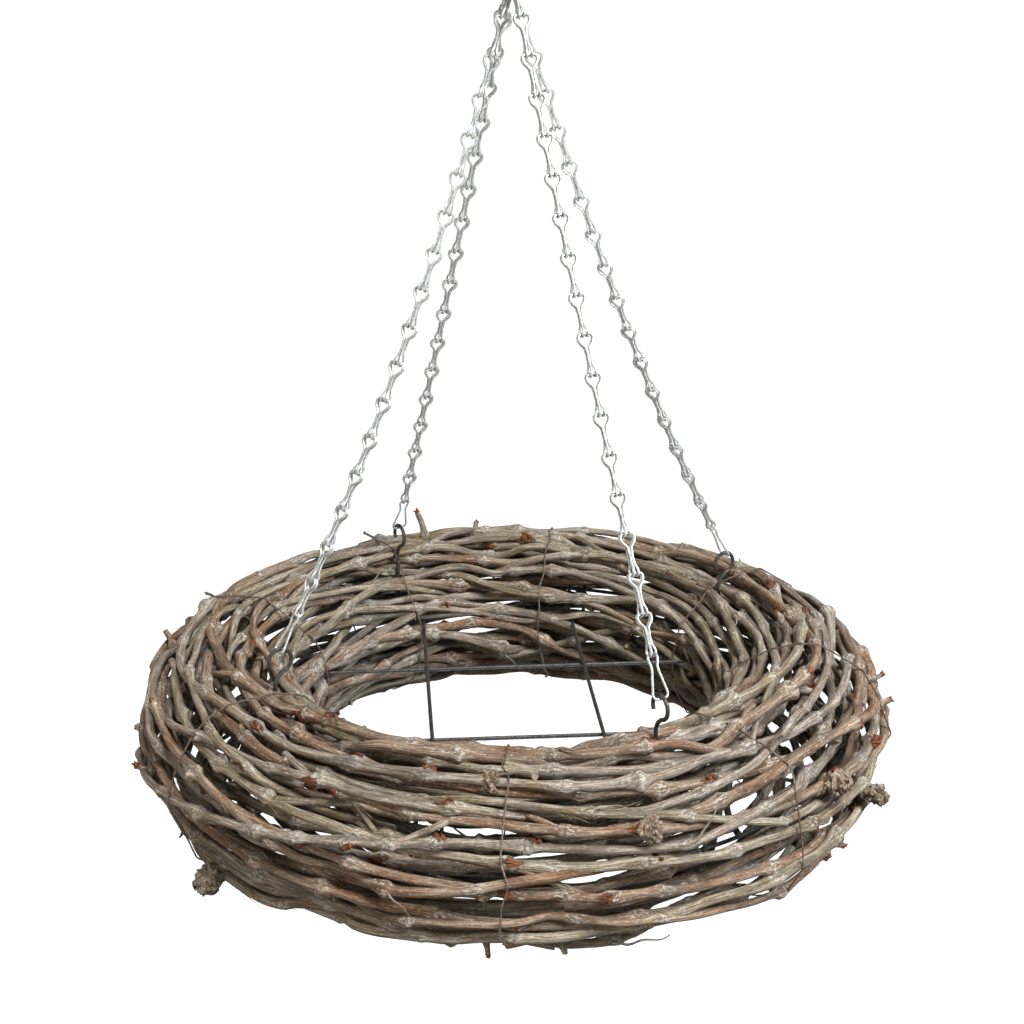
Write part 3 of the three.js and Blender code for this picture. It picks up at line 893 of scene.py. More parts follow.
BARKS = {
    "bark_grey": VineBark("dried vine bark, weathered grey", "#776a5b", "#54483c", "#a29685", "#dac6ae"),
    "bark_brown": VineBark("dried vine bark, red brown", "#735d49", "#4f4032", "#9a8772", "#dab08c"),
    "bark_tan": VineBark("dried vine bark, straw tan", "#746753", "#54483a", "#a29783", "#d8c3a4"),
}
BUD_WOOD = BareWood("broken bud wood, rust brown", "#33190e", "#8f5733")
CUT_WOOD = BareWood("cut vine wood, greyed", "#5d4c3e", "#b49d80")
ANNEALED_IRON = DrawnWire("annealed iron wire, dark scale", "#282624", "#524e49", 0.5, 0.42, 0.62)
RUSTY_IRON = DrawnWire("annealed binding wire, rusting", "#40342b", "#776252", 0.4, 0.5, 0.75)
ZINC_PLATE = DrawnWire("zinc-plated steel wire, drawn", "#a1a19b", "#d2d2cc", 0.6, 0.44, 0.6)
FLOOR_PAINT = MattPaint("white studio floor paint", "#ffffff")


def distinct(points: np.ndarray, apart: float) -> np.ndarray:
    """Leaves out points that repeat another.

    Args:
        points: rows of three.
        apart: how far a point lies from every one before it, if it is kept.

    Returns:
        The points that are kept.
    """
    kept = points[:1]
    for point in points[1:]:
        if np.linalg.norm(kept - point, axis=1).min() > apart:
            kept = np.vstack([kept, point])
    return kept


def clusters(points: np.ndarray, reach: float) -> list[np.ndarray]:
    """Parts points into groups.

    Args:
        points: rows of any length.
        reach: how close a point lies to another one of its group.

    Returns:
        The groups.
    """
    left = list(range(len(points)))
    groups = []
    while left:
        group = [left.pop()]
        for member in group:
            close = [i for i in left if np.linalg.norm(points[i] - points[member]) < reach]
            group.extend(close)
            left = [i for i in left if i not in close]
        groups.append(points[group])
    return groups


@dataclass(frozen=True)
class Shoot:
    """A cut side shoot: the cane's section that it grows from, the middle of its end, and its size."""

    section: int
    end: np.ndarray
    radius: float


@dataclass(frozen=True)
class CaneCourse:
    """Where a cane of the part runs, and how thick it is, section by section."""

    middles: np.ndarray
    radii: np.ndarray
    swollen: list[int]
    shoots: list[Shoot]

    @classmethod
    def read(cls, node: bpy.types.Object, sides: int) -> CaneCourse:
        """Reads a cane's course from its node of the part.

        Its sections stand on evenly spaced half planes through the wreath's axis, and its two
        ends a little past the first and the last of them.

        Args:
            node: the node's object.
            sides: how many corners its sections have.

        Returns:
            The course.
        """
        flat = np.zeros(3 * len(node.data.vertices), np.float32)
        node.data.vertices.foreach_get("co", flat)
        corners = distinct(flat.reshape(-1, 3).astype(float), SAME_CORNER)
        columns = (np.arctan2(corners[:, 1], corners[:, 0]) / COLUMN_ANGLE) % COLUMNS
        radial = np.hypot(corners[:, 0], corners[:, 1]) - RING_RADIUS
        flat_places = np.stack([radial, corners[:, 2] - WREATH_HEIGHT], axis=1)

        def sections_at(column: float) -> list[np.ndarray]:
            """Returns the outlines that stand on one half plane."""
            off = np.abs(wrapped(columns - column, COLUMNS))
            return clusters(flat_places[off < ON_COLUMN], SECTION_GAP)

        def end_at(share: float) -> tuple[int, np.ndarray]:
            """Finds an end of the cane.

            Args:
                share: how far past a column it stands.

            Returns:
                The column, and the outline of the end.
            """
            for column in range(COLUMNS):
                for outline in sections_at(column + share):
                    if len(outline) == sides:
                        return column, outline
            raise ValueError(f"{node.name} has no end at {share} of a column")

        first, start = end_at(1 - TIP)
        places = [(first + 1 - TIP, start)]
        ready = {column: sections_at(column) for column in range(COLUMNS)}
        column = first + 1
        while True:
            options = ready[column % COLUMNS]
            last = places[-1][1].mean(axis=0)
            away = [float(np.linalg.norm(option.mean(axis=0) - last)) for option in options]
            if not options or min(away) > SECTION_SHIFT:
                break
            places.append((column, options.pop(int(np.argmin(away)))))
            column += 1
        places.append((column - 1 + TIP, end_at(TIP)[1]))

        outlines = [outline for _, outline in places]
        middles = np.array([outline.mean(axis=0) for outline in outlines])
        radii = np.array(
            [np.linalg.norm(outline - outline.mean(axis=0), axis=1).mean() for outline in outlines]
        )
        cut = [i for i, outline in enumerate(outlines) if len(outline) != sides]
        whole = [i for i in range(len(places)) if i not in cut]
        for axis in range(2):
            middles[cut, axis] = np.interp(cut, whole, middles[whole, axis])
        radii[cut] = np.interp(cut, whole, radii[whole])
        even = np.linspace(radii[0], radii[-1], len(radii))
        line = np.array(
            [
                horizontal(at * COLUMN_ANGLE) * (RING_RADIUS + out) + UP * (WREATH_HEIGHT + height)
                for (at, _), (out, height) in zip(places, middles)
            ]
        )
        shoots = []
        for i in cut:
            far = np.linalg.norm(corners - line[i], axis=1)
            off = np.abs(wrapped(columns - places[i][0], COLUMNS))
            near = (far < SHOOT_REACH) & (far > radii[i] + SHOOT_CLEARANCE) & (off < SHOOT_COLUMNS)
            order = np.argsort(-far * near)[:SHOOT_CORNERS]
            tip = corners[order]
            if near[order].all() and np.ptp(tip, axis=0).max() < SHOOT_WIDTH:
                size = np.linalg.norm(tip - tip.mean(axis=0), axis=1).mean() / STUB_TAPER
                shoots.append(Shoot(i, tip.mean(axis=0), float(size)))
        swollen = [i for i in range(1, len(radii) - 1) if radii[i] > SWOLLEN * even[i]]
        return cls(line, even, swollen, shoots)


@dataclass(frozen=True)
class NodeMark:
    """One swollen node of a cane: how far along it, its size, and which way round its bud faces."""

    at: float
    size: float
    turn: float
    rusty: bool


@dataclass
class VineCane:
    """One cane, dressed in ridged bark, with swollen nodes, buds, side shoots and cut ends."""

    layer: Layer
    number: int
    # Its mesh: the corners of the part's sections, the sides and steps of its own, how much wider
    # apart its rings lie between the nodes, and how far from a node they begin to
    corners: int = 5
    sides: int = 16
    step: float = 1.9 * MM
    widening: float = 1.1
    close_reach: float = 11 * MM
    path_step: float = 2.5 * MM
    slimness: float = 0.74
    # Its nodes: how far apart, how far each strays, the smallest and the span of sizes, how much a
    # node swells, how gently it rises and how sharply it drops, the knuckle on it, and its bud
    node_spacing: float = 66 * MM
    node_stray: float = 0.32
    node_least: float = 0.3
    node_span: float = 1.2
    node_gap: float = 20 * MM
    swell: float = 0.5
    rise_reach: float = 9 * MM
    drop_reach: float = 3.0 * MM
    knuckle: float = 0.14
    knuckle_reach: float = 2.6 * MM
    chalk_reach: float = 5.5 * MM
    chalk_shift: float = 1.5 * MM
    bud_bulge: float = 0.5
    bud_reach: float = 3.2 * MM
    bud_turn: float = 0.75
    rust_reach: float = 5.2 * MM
    rust_shift: float = 2 * MM
    rust_gain: float = 1.2
    # Its course: the bend at each node, and the sway between them
    bend: float = 1.4 * MM
    wobble: float = 0.8 * MM
    wobble_length: float = 24 * MM
    # Its bark: ridges and lumps, as shares of its radius, how many there are round it and how long
    # each is, how its girth varies, and how far from round it is
    ridge: float = 0.05
    ridge_length: float = 38 * MM
    ridge_count: int = 12
    lump: float = 0.075
    lump_length: float = 8 * MM
    lump_count: int = 6
    girth: float = 0.05
    girth_length: float = 30 * MM
    oval: float = 0.06
    # Its ends: how far they run on, swerve and lift, and how deep the slant of the cut is
    longest_end: float = 20 * MM
    end_swerve: float = 0.4
    end_lift: float = 0.16
    end_cut: float = 0.7
    end_cut_depth: float = 6 * MM
    # Its burls and broken buds: how many crumbs of bark a burl has and what share of them is rusty,
    # and how many splinters stand up from a bud
    burl_crumbs: int = 26
    burl_rusty: float = 0.1
    bud_splinters: int = 5
    # How many of its nodes have broken buds, a fork or a tendril, and how often bark peels off
    rusty_share: float = 0.22
    bud_share: float = 0.6
    fork_share: float = 0.16
    fork_inset: float = 30 * MM
    tendril_share: float = 0.035
    peel_spacing: float = 140 * MM

    @property
    def node(self) -> str:
        """The name of the cane's node in the part."""
        return f"cane_{self.layer.value}_{self.number:02d}"

    def read(self, frame: dict[str, Any]) -> None:
        """Sets out the cane's line and its nodes on the course of its node of the part.

        Args:
            frame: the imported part.
        """
        layer_seed = 7 if self.layer is Layer.OUTER else 3
        self.random = np.random.default_rng(100 * self.number + layer_seed)
        self.course = CaneCourse.read(frame["nodes"][self.node], self.corners)
        knots = lengths_along(self.course.middles)
        self.length = knots[-1]
        self.growth = self.random.choice([-1, 1])
        self.marks = self.mark_nodes(knots)
        self.set_path(knots)

    def set_path(self, knots: np.ndarray) -> None:
        """Draws the cane's middle line: its course, bent a little at every node, and never quite even.

        Args:
            knots: how far along the cane each of its sections stands.
        """
        start, stop = self.random.uniform(0.35, 1, 2) * self.longest_end
        count = round((self.length + start + stop) / self.path_step) + 1
        self.at = np.linspace(-start, self.length + stop, count)
        inside = np.clip(self.at, 0, self.length)
        path = spline(knots, self.course.middles, inside)
        before, after = np.minimum(self.at, 0), np.maximum(self.at - self.length, 0)
        for end, inner, past in ((0, 1, before), (-1, -2, after)):
            heading = unit(self.course.middles[end] - self.course.middles[inner])
            out = self.outward(self.course.middles[end])
            aside = np.cross(heading, out) * self.random.uniform(-self.end_swerve, self.end_swerve)
            lean = heading + aside + out * self.random.uniform(0, self.end_lift)
            path = path + np.abs(past)[:, None] * lean
        radii = self.course.radii
        self.radius = np.linspace(radii[0], radii[-1], count) * self.slimness
        _, across, lift = directions(path, UP, False)
        places = [self.at[0], *[mark.at for mark in self.marks], self.at[-1]]
        sides = np.where(np.arange(len(places)) % 2, 1, -1) * self.random.uniform(0.2, 1, len(places))
        turns = self.random.uniform(0, math.pi) + self.random.uniform(-0.6, 0.6, len(places))
        for way, share in ((across, np.cos(turns)), (lift, np.sin(turns))):
            bend = np.interp(self.at, places, self.bend * sides * share)
            sway = grid_noise(self.random, self.at / self.wobble_length, np.zeros(count), 1)
            path = path + (bend + sway * self.wobble)[:, None] * way
        self.path = path
        self.along, self.across, self.lift = directions(path, UP, False)

    def space_rings(self) -> None:
        """Sets the cane's rings close together at its nodes and ends, and wider apart between them."""
        first, last = self.at[0], self.at[-1]
        fine = np.linspace(first, last, round((last - first) / (0.5 * MM)))
        places = np.array([first, *[mark.at for mark in self.marks], last])
        near = hill(fine[:, None] - places, self.close_reach).max(axis=1)
        gaps = self.step * (1 + self.widening * (1 - near))
        total = np.concatenate([[0.0], np.cumsum(np.diff(fine) / gaps[1:])])
        at = np.interp(np.linspace(0, total[-1], round(total[-1]) + 1), total, fine)
        self.path = spline(self.at, self.path, at)
        self.radius = np.interp(at, self.at, self.radius)
        self.at = at
        self.along, self.across, self.lift = directions(self.path, UP, False)

    def mark_bud(self, spot: np.ndarray, size: float) -> None:
        """Gives the cane a node with a broken bud where it passes nearest to a spot.

        Args:
            spot: a point on the outside of the bundle.
            size: the size of the node, as a share of the usual one.
        """
        i = int(np.argmin(np.linalg.norm(self.path - spot, axis=1)))
        out = unit(spot - self.path[i]) + self.outward(self.path[i])
        turn = math.atan2(float(out @ self.lift[i]), float(out @ self.across[i]))
        at = float(np.clip(self.at[i], 0, self.length))
        self.marks = [mark for mark in self.marks if abs(mark.at - at) > self.node_gap]
        self.marks.append(NodeMark(at, size, turn, True))

    def mark_nodes(self, knots: np.ndarray) -> list[NodeMark]:
        """Sets out the cane's nodes: those of the part, and others between them.

        Args:
            knots: how far along the cane each of its sections stands.

        Returns:
            The nodes, from one end to the other.
        """
        sections = set(self.course.swollen) | {shoot.section for shoot in self.course.shoots}
        places = sorted(float(knots[i]) for i in sections)
        edges = [0.0, *places, self.length]
        for before, after in zip(edges, edges[1:]):
            extra = int((after - before) / self.node_spacing)
            for k in range(1, extra + 1):
                share = (k + self.node_stray * self.random.uniform(-1, 1)) / (extra + 1)
                places.append(before + share * (after - before))
        return [
            NodeMark(
                place,
                self.node_least + self.node_span * self.random.random() ** 1.3,
                self.random.uniform(0, 2 * math.pi),
                bool(self.random.random() < self.rusty_share),
            )
            for place in sorted(places)
        ]

    def surface(self) -> tuple[np.ndarray, np.ndarray, np.ndarray]:
        """Shapes the bark.

        Returns:
            The rings of points, where each lies on the bark, and its shares of node, painted groove
            shade and rust.
        """
        random = self.random
        turns = once_round(self.sides)[None, :]
        at = self.at[:, None]
        spiral = turns / (2 * math.pi) + at * random.uniform(-2.5, 2.5)
        ridges = grid_noise(random, at / self.ridge_length, spiral * self.ridge_count, self.ridge_count)
        lumps = grid_noise(random, at / self.lump_length, spiral * self.lump_count, self.lump_count)
        girth = grid_noise(random, self.at / self.girth_length, np.zeros(len(self.at)), 1)[:, None]
        swell = np.zeros_like(at)
        chalk = np.zeros_like(at)
        bulge = np.zeros((len(self.at), self.sides))
        rust = np.zeros_like(bulge)
        for mark in self.marks:
            off = (at - mark.at) * self.growth
            slope = hill(off, np.where(off < 0, self.rise_reach, self.drop_reach))
            ring = hill(off, self.knuckle_reach)
            swell = swell + mark.size * (self.swell * slope + self.knuckle * ring)
            chalk = np.maximum(chalk, hill(off + self.chalk_shift, self.chalk_reach))
            bud_side = hill(wrapped(turns - mark.turn), self.bud_turn)
            bulge = bulge + self.bud_bulge * mark.size * bud_side * hill(off, self.bud_reach)
            if mark.rusty:
                patch = bud_side * hill(off - self.rust_shift, self.rust_reach)
                rust = np.maximum(rust, self.rust_gain * patch * mark.size)
        oval = self.oval * np.cos(2 * turns + random.uniform(0, 6))
        crumble = (0.07 * chalk + 0.12 * rust) * random.uniform(-1, 1, bulge.shape)
        knobs = self.lump * lumps * (1 + 1.6 * chalk + 2 * rust)
        relief = swell + bulge + oval + crumble + self.girth * girth + self.ridge * ridges + knobs
        size = self.radius[:, None] * (0.95 + relief)
        rings = self.path[:, None] + size[..., None] * spokes(self.across, self.lift, turns)
        for end, towards in ((0, 1), (-1, -1)):
            tilt = random.uniform(-self.end_cut, self.end_cut) * self.across[end]
            tilt = tilt + random.uniform(-self.end_cut, self.end_cut) * self.lift[end]
            depth = np.abs(self.at - self.at[end])
            fade = np.clip(1 - depth / self.end_cut_depth, 0, 1)[:, None]
            slant = (rings - self.path[end]) @ tilt * fade
            rings = rings + towards * np.maximum(slant, 0)[..., None] * self.along[end]
        # Each cane reads its own stretch of the bark's pattern
        mean = self.radius.mean()
        offset = self.number * 1.37 + (9 if self.layer is Layer.OUTER else 0)
        level, upright = mean * np.cos(turns), mean * np.sin(turns)
        place = np.stack(np.broadcast_arrays(level, upright, at + offset), axis=-1)
        # Where the ridges and lumps are low, the bark gets painted shade
        crease = np.clip(0.5 - 0.9 * ridges - 0.4 * lumps, 0, 1)
        return rings, place, np.stack(np.broadcast_arrays(chalk, crease, rust), axis=-1)

    def outward(self, point: np.ndarray) -> np.ndarray:
        """Returns the way out from the middle of the bundle at a point."""
        middle = unit(point * (1, 1, 0)) * RING_RADIUS + UP * WREATH_HEIGHT
        return unit(point - middle)

    def add_branch(
        self, buffer: MeshBuffer, path: np.ndarray, thick: np.ndarray, node_share: float, sides: int,
        cap_finish: CaneFinish = CaneFinish.CUT,
    ) -> None:
        """Adds a side branch in the cane's bark.

        Args:
            buffer: the cane's mesh.
            path: the points of its middle line.
            thick: half its thickness at each of them.
            node_share: how much node bark it has.
            sides: how many sides stand for round.
            cap_finish: the finish of its end.
        """
        turns = once_round(sides)
        share = np.linspace(0, 1, len(path))
        _, across, lift = directions(path, UP + 0.2 * (path[-1] - path[0])[::-1] / MM / 100, False)
        rough = grid_noise(self.random, share[:, None] * 5, turns[None, :] / (2 * math.pi) * 7, 7)
        size = thick[:, None] * (1 + 0.09 * rough)
        rings = path[:, None] + size[..., None] * spokes(across, lift, turns)
        along = lengths_along(path)[:, None] + self.random.uniform(0, 1)
        level, upright = thick.mean() * np.cos(turns), thick.mean() * np.sin(turns)
        place = np.stack(np.broadcast_arrays(level, upright, along), axis=-1)
        # Where the branch's skin is low, it gets painted shade
        crease = np.clip(0.5 - rough, 0, 1)
        mask = np.stack(np.broadcast_arrays(node_share, crease, 0.0), axis=-1)
        buffer.add_rings(rings, cap_finish=cap_finish, place=place, mask=mask)

    def add_shoot(self, buffer: MeshBuffer, shoot: Shoot) -> None:
        """Adds one cut side shoot or burl of the part.

        Args:
            buffer: the cane's mesh.
            shoot: the shoot.
        """
        start = self.course.middles[shoot.section]
        axis = unit(shoot.end - start)
        length = float(np.linalg.norm(shoot.end - start))
        if shoot.radius > BURL_RADIUS:
            neck = start + np.linspace(0, 1, 5)[:, None] * (shoot.end - start)
            necks = shoot.radius * np.array([0.6, 0.62, 0.6, 0.6, 0.5])
            self.add_branch(buffer, neck, necks, 0.5, 14)
            reach = min(length - self.radius[0], 1.6 * shoot.radius)
            wide = 1.5 * shoot.radius - 1.6 * MM
            self.add_burl(buffer, shoot.end - axis * 0.5 * reach, axis, (wide, 0.75 * reach + 1.5 * MM))
            return
        share = np.linspace(0, 1, 14)
        bow = unit(np.cross(axis, self.random.uniform(-1, 1, 3))) * 0.09 * length
        path = start + share[:, None] * (shoot.end - start) + np.sin(math.pi * share)[:, None] * bow
        base = 0.6 * hill(share * length - 4 * MM, 2.5 * MM)
        thick = shoot.radius * (1 - 0.28 * share) * (1 + base)
        broken = self.random.random() < 0.5
        end = CaneFinish.BUD if broken else CaneFinish.CUT
        self.add_branch(buffer, path, thick, 0.35, 14, end)
        if broken:
            self.add_bud(buffer, shoot.end, axis, self.random.uniform(1.4, 2.1) * MM)

    def add_burl(
        self, buffer: MeshBuffer, middle: np.ndarray, axis: np.ndarray, size: tuple[float, float]
    ) -> None:
        """Adds a knobbly lump of old bark, with bits of dead bud in it.

        Args:
            buffer: the cane's mesh.
            middle: where it sits.
            axis: the way that it is long.
            size: half its thickness and half its length.
        """
        random = self.random
        # The crease share, 0.6, puts the grooves' painted shade over the whole burl and its crumbs, in
        # streaks
        lump_mask, crumb_mask = (0.4, 0.6, 0.2), (0.5, 0.6, 0.15)
        buffer.add_lump(middle, axis, size, 0.26, random, CaneFinish.BARK, 17, lump_mask)
        for _ in range(self.burl_crumbs):
            way = unit(random.uniform(-1, 1, 3))
            flat = way - axis * (way @ axis)
            spot = middle + axis * (way @ axis) * size[1] * 0.95 + flat * size[0]
            small = random.uniform(1.0, 2.5) * MM
            finish = CaneFinish.BUD if random.random() < self.burl_rusty else CaneFinish.BARK
            buffer.add_lump(spot, way, (small, small), 0.3, random, finish, mask=crumb_mask)

    def add_bud(self, buffer: MeshBuffer, root: np.ndarray, axis: np.ndarray, size: float) -> None:
        """Adds the rusty crumbling end of a broken bud.

        Args:
            buffer: the cane's mesh.
            root: where it sits.
            axis: the way that it points.
            size: half its thickness.
        """
        random = self.random
        buffer.add_lump(root, axis, (size, 1.1 * size), 0.3, random, CaneFinish.BUD, turns=8)
        for _ in range(self.bud_splinters):
            lean = unit(axis + 0.9 * random.uniform(-1, 1, 3))
            tip = root + lean * size * random.uniform(1.0, 2.0)
            path = np.linspace(root, tip, 4)
            thick = size * random.uniform(0.7, 1.2) * np.array([0.5, 0.45, 0.36, 0.16])
            buffer.add_wire(path, thick, UP + 0.2 * lean[::-1], sides=5, finish=CaneFinish.BUD)

    def add_bud_group(self, buffer: MeshBuffer, mark: NodeMark) -> None:
        """Adds the broken buds that sit together on one side of a node.

        Args:
            buffer: the cane's mesh.
            mark: the node.
        """
        random = self.random
        i = int(np.argmin(np.abs(self.at - mark.at)))
        for _ in range(round(mark.size * random.uniform(1.5, 4))):
            turn = mark.turn + random.uniform(-0.6, 0.6)
            out = self.across[i] * math.cos(turn) + self.lift[i] * math.sin(turn)
            shift = random.uniform(-2, 5) * MM * self.growth
            root = self.path[i] + out * self.radius[i] * 1.25 + self.along[i] * shift
            axis = unit(out + random.uniform(-0.8, 0.8) * self.along[i])
            self.add_bud(buffer, root, axis, random.uniform(1.0, 1.9) * MM)

    def add_fork(self, buffer: MeshBuffer, mark: NodeMark) -> None:
        """Adds a branch that leaves a node at a slant and dives in among the other canes.

        Args:
            buffer: the cane's mesh.
            mark: the node.
        """
        random = self.random
        i = int(np.argmin(np.abs(self.at - mark.at)))
        root = self.path[i]
        out = self.outward(root)
        side = unit(np.cross(self.along[i], out)) * random.choice([-1, 1])
        reach = random.uniform(26, 48) * MM
        share = np.linspace(0, 1, 22)[:, None]
        slant = random.uniform(0.28, 0.5)
        path = root + reach * (
            self.growth * self.along[i] * share
            + side * slant * share**1.2
            + out * (0.06 * share - 0.42 * share**2)
        )
        thick = self.radius[i] * random.uniform(0.6, 0.85) * (1 + 0.25 * hill(share[:, 0], 0.12))
        self.add_branch(buffer, path, thick, 0.1, 14)

    def add_tendril(self, buffer: MeshBuffer, mark: NodeMark) -> None:
        """Adds a thin dead tendril that curls away from a node over the canes.

        Args:
            buffer: the cane's mesh.
            mark: the node.
        """
        random = self.random
        i = int(np.argmin(np.abs(self.at - mark.at)))
        root = self.path[i]
        out = self.outward(root)
        side = unit(np.cross(self.along[i], out)) * random.choice([-1, 1])
        reach = random.uniform(10, 24) * MM
        share = np.linspace(0, 1, 26)[:, None]
        curl = random.uniform(-0.5, 0.5)
        path = root + out * self.radius[i] * 0.8 + reach * (
            self.growth * self.along[i] * share
            + side * (0.5 * share + curl * share**2)
            + out * (0.16 * np.sin(2.4 * share) + 0.05 * np.sin(9 * share))
        )
        thick = random.uniform(0.55, 0.95) * MM * (1 - 0.65 * share[:, 0])
        self.add_branch(buffer, path, thick, 0.0, 7)

    def add_peel(self, buffer: MeshBuffer, start: float, turn: float, length: float) -> None:
        """Adds a string of bark that has come loose at one end.

        Args:
            buffer: the cane's mesh.
            start: how far along the cane it is still fast.
            turn: where round the cane.
            length: how long it is.
        """
        share = np.linspace(0, 1, 9)
        at = np.clip(start + share * length, 0, self.length)
        path = spline(self.at, self.path, at)
        across = spline(self.at, self.across, at)
        lift = spline(self.at, self.lift, at)
        out = unit(across * math.cos(turn) + lift * math.sin(turn))
        height = np.interp(at, self.at, self.radius) + (0.1 * MM + 3.0 * MM * share**2.5)
        path = path + out * height[:, None]
        thick = 0.3 * MM * (1 - 0.75 * share)
        buffer.add_wire(path, thick, out, sides=4)

    def build(self, slot: str, finishes: list[bpy.types.Material]) -> bpy.types.Object:
        """Makes the cane.

        Args:
            slot: the record's slot of its bark; not used.
            finishes: its bark, its bud wood and its cut wood.

        Returns:
            The piece.
        """
        buffer = MeshBuffer()
        self.space_rings()
        rings, place, mask = self.surface()
        buffer.add_rings(rings, cap_finish=CaneFinish.CUT, place=place, mask=mask)
        for shoot in self.course.shoots:
            self.add_shoot(buffer, shoot)
        for mark in self.marks:
            draws = self.random.random(3)
            if mark.rusty and draws[0] < self.bud_share * mark.size:
                self.add_bud_group(buffer, mark)
            inside = self.fork_inset < mark.at < self.length - self.fork_inset
            if draws[1] < self.fork_share and inside:
                self.add_fork(buffer, mark)
            if draws[2] < self.tendril_share:
                self.add_tendril(buffer, mark)
        for _ in range(round(self.length / self.peel_spacing)):
            start = self.random.uniform(0.05, 0.85) * self.length
            turn, length = self.random.uniform(0, 6.28), self.random.uniform(8, 26) * MM
            self.add_peel(buffer, start, turn, length)
        piece = buffer.build(f"vine_{self.layer.value}_{self.number:02d}", finishes)
        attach(piece, "root")
        if self.layer is not Layer.LOOSE:
            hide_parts(self.node)
        return piece

    def places(self) -> np.ndarray:
        """Tells where the cane's points lie on the bundle.

        Returns:
            The azimuth, distance from the bundle's middle, angle round it and radius of each.
        """
        x, y, z = self.path.T
        radial = np.hypot(x, y) - RING_RADIUS
        height = z - WREATH_HEIGHT
        distance, angle = np.hypot(radial, height), np.arctan2(height, radial)
        return np.stack([np.arctan2(y, x), distance, angle, self.radius], axis=1)

    def crossing(self, azimuth: float) -> list[tuple[float, float, float]]:
        """Finds where the cane passes a binding wire.

        Args:
            azimuth: where round the wreath the binding wire is.

        Returns:
            For each pass, how far out and how high the cane's middle is, and its radius.
        """
        facing = horizontal(azimuth)
        past = self.path @ horizontal(azimuth + math.pi / 2)
        found = []
        for i in np.nonzero(past[:-1] * past[1:] <= 0)[0]:
            share = past[i] / (past[i] - past[i + 1])
            point = self.path[i] + share * (self.path[i + 1] - self.path[i])
            if point @ facing > 0:
                found.append((float(point @ facing), float(point[2]), float(self.radius[i])))
        return found


@dataclass
class InnerCane(VineCane):
    """A cane of the inner layer, with a coarser mesh, because it shows only between the others."""

    corners: int = 4
    sides: int = 11
    step: float = 3.2 * MM


def crowd_cells(azimuth: np.ndarray, angle: np.ndarray) -> tuple[np.ndarray, np.ndarray]:
    """Finds the cells of the crowd's grid that places on the bundle fall in.

    Args:
        azimuth: where round the wreath each place is.
        angle: where round the bundle.

    Returns:
        The cells' rows and columns.
    """
    rows = np.floor(azimuth / (2 * math.pi) * CROWD_CELLS[0]).astype(int) % CROWD_CELLS[0]
    columns = np.floor(angle / (2 * math.pi) * CROWD_CELLS[1]).astype(int) % CROWD_CELLS[1]
    return rows, columns


def count_crowd(places: np.ndarray) -> np.ndarray:
    """Counts the points of canes in every cell of the bundle, and in the cells beside it.

    Args:
        places: the azimuth, distance, angle and radius of each point.

    Returns:
        The counts, by azimuth and angle.
    """
    crowd = np.zeros(CROWD_CELLS)
    np.add.at(crowd, crowd_cells(places[:, 0], places[:, 2]), 1)
    for axis in (0, 1):
        crowd = crowd + CROWD_BESIDE * (np.roll(crowd, 1, axis) + np.roll(crowd, -1, axis))
    return crowd


@dataclass
class LooseCane(VineCane):
    """A thinner cane, wound over and between the others, that only the looks have."""

    sides: int = 12
    step: float = 2.1 * MM
    slimness: float = 1.0
    fork_share: float = 0.1
    end_dip: float = 9 * MM
    end_reach: float = 20 * MM
    lowest: float = 40.5 * MM

    def draw_way(self, number: int) -> tuple[np.ndarray, np.ndarray]:
        """Draws one way that the cane could take round the wreath.

        Args:
            number: which of its ways it is, which sets the side of the bundle that it starts on.

        Returns:
            The azimuth, and the angle round the bundle, at even steps.
        """
        random = self.random
        reach = random.uniform(0.3, 0.8) * 2 * math.pi
        count = round(reach / LAY_STEP)
        azimuth = LOOSE_START * self.number + np.linspace(0, reach, count)
        drift = random.choice([-1, 1]) * random.uniform(0.1, 0.7)
        sway = 0.22 * grid_noise(random, azimuth / 0.6, np.zeros(count), 1)
        return azimuth, 2 * math.pi * number / LOOSE_WAYS + drift * (azimuth - azimuth[0]) + sway

    def lay(self, under: np.ndarray, crowd: np.ndarray) -> None:
        """Lays the cane over the others, where the fewest of them are.

        Args:
            under: the azimuth, distance, angle and radius of every point of the canes below.
            crowd: how crowded the bundle is, by azimuth and angle.
        """
        self.random = np.random.default_rng(700 + self.number)
        random = self.random
        self.growth = random.choice([-1, 1])
        thick = random.uniform(2.2, 3.3) * MM
        ways = [self.draw_way(number) for number in range(LOOSE_WAYS)]
        azimuth, angle = min(ways, key=lambda way: float(crowd[crowd_cells(*way)].mean()))
        count = len(azimuth)
        reach = float(azimuth[-1] - azimuth[0])
        height = np.full(count, self.lowest)
        for i in range(count):
            beside = under[np.abs(wrapped(under[:, 0] - azimuth[i])) < 0.7 * LAY_STEP]
            aside = beside[:, 1] * wrapped(beside[:, 2] - angle[i])
            room = (beside[:, 3] + thick) ** 2 - aside**2
            over = beside[room > 0, 1] + np.sqrt(room[room > 0])
            height[i] = max([self.lowest, *over])
        # It rises before what it passes over, and then its rise is rounded off
        width = 3
        padded = np.pad(height, width, mode="edge")
        height = np.max([padded[k : k + count] for k in range(2 * width + 1)], axis=0)
        kernel = np.hanning(2 * width + 5)[1:-1]
        padded = np.pad(height, len(kernel) // 2, mode="edge")
        height = np.convolve(padded, kernel / kernel.sum(), mode="valid")[:count]
        height = np.minimum(height, TOP_OF_BUNDLE - thick)
        gone = np.abs(np.linspace(-reach / 2, reach / 2, count)) - reach / 2
        height = height - self.end_dip * hill(gone * RING_RADIUS, self.end_reach)
        middles = np.array([bundle_point(*place) for place in zip(azimuth, height, angle)])[::3]
        self.course = CaneCourse(middles, np.full(len(middles), thick), [], [])
        knots = lengths_along(self.course.middles)
        self.length = knots[-1]
        self.marks = self.mark_nodes(knots)
        self.set_path(knots)


